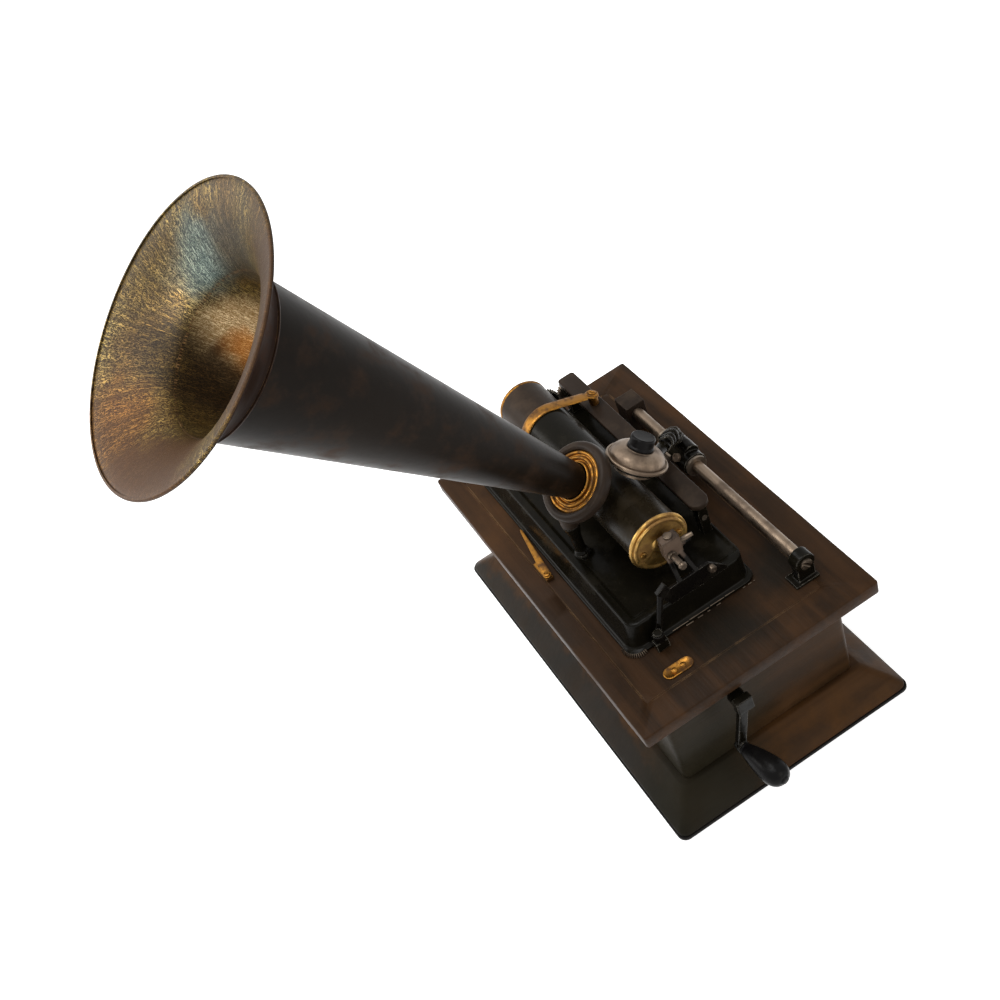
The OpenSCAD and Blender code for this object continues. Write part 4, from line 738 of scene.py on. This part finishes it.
def make_case():
    """Four case walls with eased upright corners."""
    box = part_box("case_walls")
    foot, top = box[0].z, box[1].z
    outer = [inset(box, 0.5 * MM, foot, CORNER, 0.12 * MM)]
    for z in (foot + 0.6 * MM, foot + 40 * MM, foot + 80 * MM, top):
        outer.append(inset(box, 0.0, z, CORNER, 0.12 * MM))
    inner = [inset(box, CASE_WALL, z, CORNER + CASE_WALL) for z in (top, foot)]
    dress(lofted("case_box", outer + inner, ring=True), "case_walls")


def make_deck():
    """Overhanging top board with rounded arrises and a scribed border."""
    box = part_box("deck_board")
    foot, top = box[0].z, box[1].z
    corner = 3 * MM
    levels = [inset(box, 30 * MM, foot, corner)]
    for by, up in ((1.0, 0.0), (0.3, 0.3), (0.0, 1.1)):
        levels.append(inset(box, by * MM, foot + up * MM, corner, 0.2 * MM))
    for by, down in ((0.0, 1.5), (0.35, 0.5), (1.3, 0.0)):
        levels.append(inset(box, by * MM, top - down * MM, corner, 0.3 * MM))
    scribe = ((-185.5 * MM, -105 * MM, 0), (185.5 * MM, 87 * MM, 0))
    for by, down in ((-0.5, 0), (0, 0.6), (0.8, 0.6), (1.3, 0)):
        levels.append((*sides(scribe, by * MM, by * MM), 1 * MM, top - down * MM, 0.05 * MM))
    dress(lofted("deck_top", levels), "deck_board", "ebonised_wood")


make_plinth()
make_case()
make_deck()
make_strip()

# Castings: voxel size in mm, rounds of smoothing, lumps in mm, and a finish in place of the slot's own

CASTINGS = (
    ("bedplate", 1.35, 3, 0.35),
    ("rear_housing", 0.8, 3, 0.06, "satin_brown_black"),
    ("edge_brackets", 0.6, 4, 0.3),
    ("rear_rod_block", 0.7, 5, 0.5, "satin_brown_black"),
    ("front_rod_post", 0.6, 4, 0.4),
    ("carrier_arm", 0.5, 5, 0.9),
    ("horn_post", 0.6, 3, 0.4),
    ("gate_foot", 0.5, 3, 0.3),
    ("end_gate", 0.4, 4, 0.4, "worn_gate_black"),
    ("crank_arm", 0.6, 4, 0.4),
)
for node, voxel, rounds, lumps, *coats in CASTINGS:
    dress(casting(node, voxel * MM, rounds, lumps * MM), node, *coats)

# Horn, in mm

CONE_L = 377
CONE_R = 64.3
NECK_R = 16.9
NECK_IN = 10
WALL = 1.4
SEAT = 0.3
BELL_R = 118
BELL_DEPTH = 38
RIM_R = 1.8
FLARE = 1.42
HORN_WOBBLE = 0.3


def cone_radius(z):
    """Outer radius of the cone at a distance in front of the collar."""
    return NECK_R + (CONE_R - NECK_R) * z / CONE_L


def in_gold(piece, steps, first, last):
    """Gives the rings from first to last of a turned piece its second finish."""
    for face in piece.data.polygons:
        face.material_index = 1 if first * steps <= face.index < last * steps else 0


def make_cone():
    """Rolled cone, black outside and brushed gold inside."""
    steps = 160
    levels = [-NECK_IN + (CONE_L + NECK_IN) * index / 30 for index in range(31)]
    outline = [(cone_radius(z), z) for z in levels]
    outline += [(cone_radius(z) - WALL, z) for z in reversed(levels)]
    cone = turned("horn_cone_shell", outline, horn_place, horn_axis, steps, HORN_WOBBLE)
    dress(cone, "horn_cone", "horn_black", "brushed_bell_gold")
    in_gold(cone, steps, len(levels), 2 * len(levels) - 1)


def make_bell():
    """Flared bell: gold inside, brown outside, with a thin rolled rim and a joint bead."""
    steps = 224
    throat = CONE_R + SEAT
    run = BELL_R - RIM_R - throat
    count = 48
    back, front = [], []
    for index in range(count + 1):
        share = (index / count) ** 1.6
        rise = BELL_DEPTH * (1 - (1 - share) ** FLARE) ** (1 / FLARE)
        back.append((throat + 1.5 + (run - 1.2) * share, CONE_L - 0.3 + rise))
        front.append((throat - WALL + (run + WALL) * share, CONE_L + SEAT + rise))
    rim = arc((BELL_R - RIM_R, CONE_L + BELL_DEPTH), RIM_R, -120, 120, 10)
    bead = [(throat + out, CONE_L - down) for out, down in ((0, 5), (2, 4.8), (2.9, 3.6), (2, 2.4))]
    bead = fillet(bead, 0.4, 2)
    lap = CONE_L - 7
    clear = WALL + 0.1
    inner = [(cone_radius(CONE_L) - clear, CONE_L - 1), (cone_radius(lap) - clear, lap),
             (cone_radius(lap) - WALL, lap), (cone_radius(CONE_L) - WALL, CONE_L), (throat, CONE_L)]
    outline = bead + back + rim + front[::-1][:-1] + inner
    bell = turned("horn_bell_flare", outline, horn_place, horn_axis, steps, HORN_WOBBLE)
    dress(bell, "horn_bell", "bell_back_brown", "brushed_bell_gold")
    in_gold(bell, steps, len(bead) + len(back) + len(rim) // 2, len(outline) - 3)


def make_bush():
    """Brass bush with three rough turned rings about the neck."""
    hole = cone_radius(0) + SEAT
    rings = [(30, -13.5), (30, -4), (29.6, -2.6), (28.2, -1.7), (26.8, -2.2), (26, -4.4), (25, -4.4),
             (24.2, -2.4), (22.8, -1.6), (21.4, -2.5), (20.8, -4.4), (20, -4.4), (19.4, -1.6), (18.6, -0.7),
             (17.6, -0.7)]
    outline = [(hole, rings[0][1])] + [(max(r, hole), z) for r, z in rings]
    bush = turned("collar_bush_rings", fillet(outline, 0.5), horn_place, horn_axis, 128, 0.5)
    dress(bush, "collar_bush", "brass")


make_cone()
make_bell()
dress(casting("collar_ring", 0.8 * MM, 3, 0.3 * MM), "collar_ring", "satin_brown_black")
make_bush()

# Sound box and its knob, in mm

BOX_R = 29.6
BOX_FLANGE = 4
BOX_DOME = 9.5
KNOB_SEAT = 14
KNOB_FOOT = BOX_FLANGE + BOX_DOME + 0.9


def make_sound_box():
    """Silver box: flange with a rolled lip, a groove, a satin dome and a seat for the knob."""
    lip = ((0.6, -4), (0, -3.2), (0, -1.2), (0.7, -0.1), (2, 0), (2.6, -0.9), (3.2, -0.9))
    flange = [(0, 0)] + [(BOX_R - inward, BOX_FLANGE + up) for inward, up in lip]
    dome = []
    for index in range(13):
        angle = pi / 2 * index / 12
        r = KNOB_SEAT + (BOX_R - 3.5 - KNOB_SEAT) * cos(angle)
        dome.append((r, BOX_FLANGE + 0.6 + BOX_DOME * sin(angle) - 0.6 * cos(angle)))
    top = dome[-1][1]
    seat = [(14, 0), (13.7, 0.3), (12.6, 0), (5, 0), (5, 5.4), (0, 5.4)]
    outline = fillet(flange, 0.4) + dome + fillet([(r, top + z) for r, z in seat], 0.2, 2)
    dress(turned("sound_box_shell", outline, box_place, box_axis, 128, 0.2), "sound_box")


def make_knob():
    """Black knob with a thin foot flange, a waist groove and a slightly hollow top."""
    shape = [(0, 0), (12.4, 0), (12.5, 0.5), (12.5, 1.8), (11.9, 2.4), (11.5, 3), (11.6, 10.2),
             (11.1, 11.4), (10.2, 12), (9.2, 11.8), (0, 11.5)]
    outline = fillet([(r, KNOB_FOOT + z) for r, z in shape], 0.5)
    dress(turned("sound_box_knob_cap", outline, box_place, box_axis, 96, 0.15), "sound_box_knob")


make_sound_box()
make_knob()

# Record, its end disc and the fixed tube behind it

MANDREL_Y = mandrel_place.y
AXIS_Z = mandrel_place.z
RECORD_FAR = -13 * MM
RECORD_END = 95 * MM
CAP_X = -158 * MM
DISC_T = 7 * MM
SCREW_PLACE = 19.3 * MM


def on_axis(x, y=0.0):
    """Place on the mandrel's axis line, or beside it."""
    return Vector((x, MANDREL_Y + y, AXIS_Z))


def make_record():
    """Black record cylinder with eased ends and a taper bore."""
    shape = [(23.6, 0), (27.2, 0), (27.8, 0.6), (27.8, 1.6), (27.65, 2.2), (27.7, 54), (27.65, 105.8),
             (27.8, 106.4), (27.8, 107.4), (27.2, 108), (22.4, 108)]
    tube = turned("record_tube", shape, on_axis(RECORD_FAR), X_AXIS, 128, 0.12)
    dress(tube, "record_cylinder")


def make_end_disc():
    """Stepped brass disc with a rolled rim, a dished face and a centre cup."""
    shape = [(5.05, 0), (29.6, 0), (30.5, 0.9), (30.5, 2.7), (29.8, 3.5), (28, 3.7), (27, 4.1), (27, 4.5),
             (28, 4.9), (28.2, 5.7), (27.6, 6.7), (26.2, 7), (24.8, 6.5), (24, 6.2), (9.5, 6.1), (8.6, 6.6),
             (7, 7), (3.4, 7), (0, 4.6), (0, 4.4), (5.05, 4.4)]
    disc = turned("end_disc_face", fillet(shape, 0.35), on_axis(RECORD_END), X_AXIS, 128, 0.45)
    dress(disc, "end_disc", "disc_brass")


def make_disc_screws():
    """Two slotted screws in the end disc."""
    face = RECORD_END + DISC_T - 0.9 * MM
    heads = []
    for index, side in enumerate((-1, 1)):
        place = on_axis(face, side * SCREW_PLACE)
        heads.append(slotted_head(f"disc_screw_{index}", 3.2, 2, place, X_AXIS, 25 + 70 * index))
    dress(joined(*heads), "end_disc_screws", "aged_brass")


def make_rear_cap():
    """Brass cap behind the fixed tube, rolled at its edge."""
    shape = [(5.05, -4), (24, -4), (25, -4.5), (27.2, -4.3), (28.1, -3.3), (28.1, -0.7), (27.7, 0),
             (24.5, 0), (24.5, 3), (5.05, 3)]
    dress(turned("rear_cap_rim", fillet(shape, 0.4), on_axis(CAP_X), X_AXIS, 128, 0.2), "rear_cap")


make_record()
make_end_disc()
make_disc_screws()
make_rear_cap()

# Brass strap and its screw

STRAP_X = -105 * MM
STRAP_W = 13 * MM
STRAP_T = 2 * MM
STRAP_R = 28.1 * MM
STRAP_FRONT = 220
STRAP_DROP = 20
EYE_Y = 42 * MM
EYE_R = 7.6 * MM
EDGE_TOP = deck_z + 72 * MM


def strap_path():
    """Middle line of the strap, as places in Y and Z and outward directions, from front foot to eye."""
    path = []
    leave = 90 - STRAP_DROP
    for index in range(41):
        angle = radians(STRAP_FRONT + (leave - STRAP_FRONT) * index / 40)
        out = Vector((cos(angle), sin(angle)))
        path.append((Vector((MANDREL_Y, AXIS_Z)) + out * (STRAP_R + STRAP_T / 2), out))
    last, out = path[-1]
    along = Vector((out.y, -out.x))
    run = (EYE_Y - last.x) / along.x + EYE_R
    for index in range(1, 25):
        path.append((last + along * run * index / 24, out))
    return path


def strap_half(index, left):
    """Half the strap's width at a point of its path, at a distance before its end."""
    half = STRAP_W / 2 * (1 + 0.05 * noise.noise(Vector((index * 0.31, 4, 2))))
    if left < 2 * EYE_R:
        round_half = sqrt(max(EYE_R ** 2 - (left - EYE_R) ** 2, 0.0))
        half = max(round_half, STRAP_W * 0.36 * min(left / EYE_R, 1.0))
    if left > 1.4 * EYE_R:
        half = min(half, STRAP_W / 2)
    return max(half, 0.4 * MM)


def make_strap():
    """Crowned brass strap, bent over the tube and ending in a round eye."""
    path = strap_path()
    eye = path[-1][0]
    shape = [(-1, -0.3), (-0.98, 0.2), (-0.9, 0.42), (-0.5, 0.52), (0, 0.56), (0.5, 0.52), (0.9, 0.42),
             (0.98, 0.2), (1, -0.3), (0.9, -0.5), (0, -0.5), (-0.9, -0.5)]
    points = []
    for index, (place, out) in enumerate(path):
        half = strap_half(index, (eye - place).length)
        for across, up in shape:
            spot = place + out * up * STRAP_T
            points.append((STRAP_X + across * half, spot.x, spot.y))
    faces = [face[::-1] for face in skin(len(path), len(shape))]
    dress(new_piece("strap_band", points, faces, sharp=50), "bearing_strap")


def make_strap_screw():
    """Round slotted screw in the strap's eye, over a dark turned post."""
    end, out = strap_path()[-1]
    eye = end - Vector((out.y, -out.x)) * EYE_R
    place = Vector((STRAP_X, *eye))
    axis = Vector((0, *out))
    shape = [(3.6, 0.4), (6.2, 0.4), (6.4, 1.2), (5.6, 2.2), (4.6, 2.2), (4.2, 1.5), (3.6, 1.5)]
    washer = turned("strap_washer", fillet(shape, 0.3), place, axis, 64, 0.2)
    head = slotted_head("strap_screw_head", 3.9, 2.6, place + axis * 0.9 * MM, axis, 35)
    stud_h = (place.z - EDGE_TOP) / MM - 2.4
    outline = [(0, 0), (5, 0), (5, stud_h), (0, stud_h)]
    stud = turned("strap_stud", outline, Vector((STRAP_X, EYE_Y, EDGE_TOP)), UP, 48)
    dress(joined(washer, head, stud), "strap_screw", "brass")


make_strap()
make_strap_screw()

# Straight edge in mm, guide rod and its screw

EDGE_Y = 41
EDGE_HALF = 10
EDGE_T = 6
EDGE_FAR = -166
EDGE_END = 89
EDGE_CORNER = 4
ROD_Y = 84 * MM
ROD_Z = deck_z + 24 * MM
ROD_FAR = -124 * MM
ROD_NEAR = 168 * MM


def make_straight_edge():
    """Long black bar, round at its near end, with softly worn arrises."""
    far, side = EDGE_FAR + EDGE_CORNER, EDGE_HALF - EDGE_CORNER
    outline = arc((EDGE_END - EDGE_HALF, EDGE_Y), EDGE_HALF, -90, 90, 20)
    outline += arc((far, EDGE_Y + side), EDGE_CORNER, 90, 180, 6)
    outline += arc((far, EDGE_Y - side), EDGE_CORNER, 180, 270, 6)
    top = EDGE_TOP / MM
    bar = slab("straight_edge_bar", outline, eased(top - EDGE_T, top, 0.9))
    dress(bar, "straight_edge", "satin_brown_black")


def make_guide_rod():
    """Bright rod with eased ends, a little waisted by wear."""
    length = (ROD_NEAR - ROD_FAR) / MM
    waist = [(6.4 - 0.05 * sin(part / 9 * pi), 8 + 276 * part / 9) for part in range(10)]
    shape = [(0, 0), (5.8, 0), (6.4, 0.6), *waist, (6.4, length - 0.5), (5.9, length), (0, length)]
    place = Vector((ROD_FAR, ROD_Y, ROD_Z))
    dress(turned("guide_rod_bar", shape, place, X_AXIS, 64, 0.08), "guide_rod")


def make_rod_screw():
    """Slotted screw head in the end of the front rod post."""
    place = Vector((172 * MM, ROD_Y, ROD_Z))
    head = slotted_head("rod_screw_head", 6, 2.5, place, X_AXIS, 40)
    shape = [(0, 0), (2.5, 0), (2.5, 4), (0, 4)]
    shank = turned("rod_screw_shank", shape, place - X_AXIS * 4 * MM, X_AXIS, 32)
    dress(joined(head, shank), "rod_screw", "dark_steel")


def make_arm_nuts():
    """Two bright nuts on the carriage hub."""
    lean = radians(50)
    out = Vector((0, -sin(lean), cos(lean)))
    pieces = []
    for x in (-42 * MM, -13 * MM):
        place = Vector((x, ROD_Y, ROD_Z)) + out * 13.05 * MM
        pieces.append(hexagon_nut(f"hub_nut_{len(pieces)}", 5, 4, place, out))
    dress(joined(*pieces), "arm_nuts")


def make_arm_windings():
    """Rough black turns and lumps about the arm's elbow."""
    elbow, root, tip = on_deck(2, 69, 80), on_deck(-28, 84, 42), on_deck(34, 40, 104)
    turns = ((tip, 0.12, 8.4), (tip, 0.34, 7.8), (tip, 0.5, 7.4),
             (root, 0.12, 8.6), (root, 0.3, 8.0), (root, 0.52, 8.8))
    pieces = []
    for index, (end, share, r) in enumerate(turns):
        shape = [(5.5, -2.4), (r - 0.8, -2.6), (r, -1), (r - 0.4, 0.4), (r + 0.2, 1.4), (r - 1, 2.8),
                 (5.5, 2.6)]
        place = elbow.lerp(end, share)
        pieces.append(turned(f"arm_turn_{index}", fillet(shape, 0.7), place, end - elbow, 48, 1.6))
    addition("arm_windings", pieces, "carrier_arm", "black_enamel")


make_straight_edge()
make_arm_windings()
make_guide_rod()
make_rod_screw()
make_arm_nuts()

# Brass tag, start lever and its block


def flat_matrix(place, turn=0.0):
    """Place on a level surface, turned about the upright."""
    return Matrix.Translation(place) @ Matrix.Rotation(radians(turn), 4, "Z")


def make_tag():
    """Brass tag with round ends, a raised lip and two pressed dots."""
    place = on_deck(172.7, -61.9)
    half_w, reach = 6.5, 9
    outline = arc((reach, 0), half_w, -90, 90) + arc((-reach, 0), half_w, 90, 270)
    levels = [(0.3, 0), (0, 0.3), (0, 1.1), (0.3, 1.5), (0.8, 1.6), (1.3, 1.4), (1.7, 1.1)]
    plate = slab("brass_tag_plate", outline, levels, flat_matrix(place, 90))
    dot = [(0, 0), (3, 0), (2.9, 0.5), (2.4, 1.1), (1.4, 1.5), (0, 1.6)]
    dots = []
    for along in (-4.3, 5.0):
        spot = place + Vector((0, along * MM, 0.9 * MM))
        dots.append(turned("tag_dot", dot, spot, UP, 40, 0.2))
    dress(joined(plate, *dots), "brass_tag")


def make_lever():
    """Thin brass pointer, ridged along its middle, on a round pivot."""
    place = on_deck(-1.5, -100, 4.3)
    half = [(4, -4.2), (30, -3.2), (69, -1.5), (72, -0.8)]
    blade = half + [(73, 0)] + [(x, -y) for x, y in reversed(half)]
    outline = arc((0, 0), 4.5, 100, 260) + blade
    pointer = slab("lever_blade", outline, eased(0, 2, 0.6), flat_matrix(place, 173))
    head = slotted_head("lever_pivot", 3.4, 1.8, place + UP * 1.9 * MM, UP, 60)
    pin = turned("lever_pin", [(0, 0), (2, 0), (2, 5), (0, 5)], place - UP * 4 * MM, UP, 32)
    dress(joined(pointer, head, pin), "start_lever")


def make_lever_block():
    """Small brass block under the lever, with its corners eased."""
    outline = ((-14, -4), (14, -4), (14, 4), (-14, 4))
    block = slab("lever_block_plate", outline, eased(0, 4, 0.7), flat_matrix(on_deck(-11, -100)))
    dress(block, "lever_block")


make_tag()
make_lever()
make_lever_block()

# Gate's centre screw and its small fittings


def make_gate_centre():
    """Pointed centre screw with its lock nut and a broader round end."""
    shape = [(0, 0), (0.6, 0), (3, 4), (3, 34), (3.6, 34.6), (3.9, 35.6), (3.9, 37.4), (3.2, 38.4),
             (0, 38.4)]
    stem = turned("centre_stem", shape, on_axis(99.6 * MM), X_AXIS, 40, 0.1)
    nut = hexagon_nut("centre_lock_nut", 4.8, 3.5, on_axis(118.3 * MM), X_AXIS)
    dress(joined(stem, nut), "gate_centre", "dark_steel")


def make_gate_fittings():
    """Bright nut, clamp lever and collar that go with the end gate."""
    lever_place = Vector((115 * MM, -2 * MM, AXIS_Z + 6 * MM))
    collar_place = Vector((113 * MM, -10 * MM, AXIS_Z + 17 * MM))
    nut = hexagon_nut("gate_plate_nut", 4.2, 5, on_deck(134, 12, 47), X_AXIS)
    shape = [(0, 0), (2.2, 0), (2.8, 6), (2, 14), (0, 14)]
    lever = turned("clamp_lever", fillet(shape, 0.5), lever_place, Vector((0.25, 0.9, 0.2)), 32, 0.2)
    shape = [(0, 0), (4.2, 0), (4.2, 2.4), (0, 2.4)]
    collar = turned("clamp_collar", fillet(shape, 0.4), collar_place, UP, 32, 0.2)
    addition("gate_fittings", (nut, lever, collar), "end_gate", "dark_steel")


make_gate_centre()
make_gate_fittings()

# Painted highlight lines and short ridges along the pan's foot

PAN_CORNER = on_deck(127, -78)
# Side of the run, heights above the deck, bead and runs along Y, all in mm
FOOT_HIGHLIGHT_LINES = (
    (138.6, 4, 4, 0.45, ((-44, -26), (-25, -3), (-1.5, 14), (15, 26))),
    (139.6, 0.6, 0.7, 0.5, ((-30, -22), (-17, -11), (-6, -3), (4, 9), (34, 37), (40, 44), (46, 48))),
)


def drawn_bead(start, end, r):
    """Thin rounded bead between two places, of a radius in mm."""
    run = (end - start).length / MM
    shape = [(0, 0), (r * 0.7, r * 0.3), (r, r), (r * 0.9, run / 2), (r, run - r),
             (r * 0.7, run - r * 0.3), (0, run)]
    return turned("foot_bead", shape, start, end - start, 10, r * 0.5)


def make_foot_highlights_and_ridges():
    """Bright beads painting highlight lines on the pan's crank-side foot, and short ridges at its front corner."""
    beads = []
    # bright beads: painted highlight lines along the foot
    for x, low, high, r, runs in FOOT_HIGHLIGHT_LINES:
        for y0, y1 in runs:
            beads.append(drawn_bead(on_deck(x, y0, low), on_deck(x + 0.3, y1, high), r))
    for index in range(15):
        angle = radians(-112 + 9.2 * index)
        out = Vector((cos(angle), sin(angle), 0))
        reach = (11.6 + 0.8 * noise.noise(Vector((index * 1.3, 0, 5)))) * MM
        start = PAN_CORNER + out * reach + UP * 4.5 * MM
        end = PAN_CORNER + out * (reach + 2.4 * MM) + UP * 0.4 * MM
        beads.append(drawn_bead(start, end, 0.5))
    addition("pan_foot_highlights_and_ridges", beads, "bedplate", "dark_steel")


make_foot_highlights_and_ridges()

# Crank grip


def make_grip():
    """Turned black grip, swelling past its middle and drawn in to a small round end."""
    place = Vector(joints["grip_turn"]["pos_m"])
    axis = Vector(joints["grip_turn"]["axis"])
    shape = [(0, 2.3), (6.3, 2.3), (6.6, 3), (6.2, 4.2), (7, 6), (8.7, 12), (10.4, 19), (11.8, 26),
             (12.7, 32), (13, 37), (12.7, 41.5), (11.6, 45.5), (9.6, 48.8), (6.8, 51), (4.6, 51.8),
             (4.2, 52.6), (2.6, 53.2), (0, 53.4)]
    dress(turned("crank_grip_turned", fillet(shape, 1.2, 4), place, axis, 80, 0.25), "crank_grip")


make_grip()

# Every other node keeps its own shape

for node in sorted(nodes):
    if not nodes[node].hide_render and not nodes[node].modifiers:
        carry(node)


# Floor, light and camera

FLOOR_SIZE = 6.0
FLOOR_GLOW = 0.62


def looked_at(tree):
    """One for rays that show a surface to the camera, straight, mirrored or through glass."""
    seen = add(tree, "LightPath").outputs
    rays = maths(tree, "MAXIMUM", seen["Is Camera Ray"], seen["Is Glossy Ray"])
    return maths(tree, "MAXIMUM", rays, seen["Is Transmission Ray"])


def make_floor():
    """Pale floor that keeps the object's shadow and shows white to the camera."""
    corners = [(x * FLOOR_SIZE, y * FLOOR_SIZE, 0) for x, y in ((-1, -1), (1, -1), (1, 1), (-1, 1))]
    floor = new_piece("floor", corners, [(0, 1, 2, 3)])
    material, tree, shader = new_finish("pale_floor", 0.0)
    set_inputs(tree, shader.inputs, {"Base Color": (0.9, 0.9, 0.9, 1.0), "Roughness": 0.9})
    glow = add(tree, "Emission", {"Strength": maths(tree, "MULTIPLY", looked_at(tree), FLOOR_GLOW)})
    both = add(tree, "AddShader", {0: shader.outputs["BSDF"], 1: glow.outputs["Emission"]})
    tree.links.new(both.outputs["Shader"], tree.nodes["Material Output"].inputs["Surface"])
    floor.data.materials.append(material)


def make_sky():
    """White to the camera and in reflections, a softer grey as light."""
    world = bpy.data.worlds.new("studio")
    bpy.context.scene.world = world
    world.use_nodes = True
    tree = world.node_tree
    strength = step(tree, looked_at(tree), 0.0, 1.0, 0.45, 1.0)
    set_inputs(tree, tree.nodes["Background"].inputs, {"Color": (1, 1, 1, 1), "Strength": strength})


def aimed_lamp(name, kind, place, target, watts, colour, **settings):
    """Studio lamp aimed at a point."""
    data = bpy.data.lights.new(name, kind)
    set_all(data, {"energy": watts, "color": colour, **settings})
    lamp = linked(name, data)
    lamp.location = place
    lamp.rotation_euler = (Vector(target) - Vector(place)).to_track_quat("-Z", "Y").to_euler()


def make_lamps():
    """Soft lamps above, at the window's side and at the crank's side, and a spot into the horn."""
    aimed_lamp("overhead_softbox", "AREA", (-0.2, -0.5, 1.9), (0, -0.05, 0.2), 34, (1, 1, 1), size=1.4)
    aimed_lamp("window_side", "AREA", (-1.3, -1.6, 1.2), (0, -0.1, 0.25), 15, (1.0, 0.98, 0.95), size=1.0)
    aimed_lamp("crank_side_fill", "AREA", (1.8, 0.6, 0.9), (0, 0, 0.2), 9, (1.0, 0.93, 0.85), size=1.2)
    aimed_lamp("horn_mouth_spot", "SPOT", (0.62, -1.05, 1.28), (-0.02, -0.24, 0.56), 165, (1.0, 0.95, 0.87),
               spot_size=radians(17), spot_blend=1.0, shadow_soft_size=0.12)


def make_camera():
    """Camera at the photograph's viewing angle."""
    data = bpy.data.cameras.new("camera")
    data.lens = 43.2
    data.sensor_width = 36
    data.shift_x, data.shift_y = 0.0385, 0.0089
    data.clip_start, data.clip_end = 0.05, 50
    camera = linked("camera", data)
    camera.location = (0.78485, -0.25891, 1.06598)
    camera.rotation_euler = [radians(angle) for angle in (43.1822, 19.2642, 62.5121)]
    bpy.context.scene.camera = camera


make_floor()
make_sky()
make_lamps()
make_camera()
bpy.context.scene.view_settings.view_transform = "Standard"
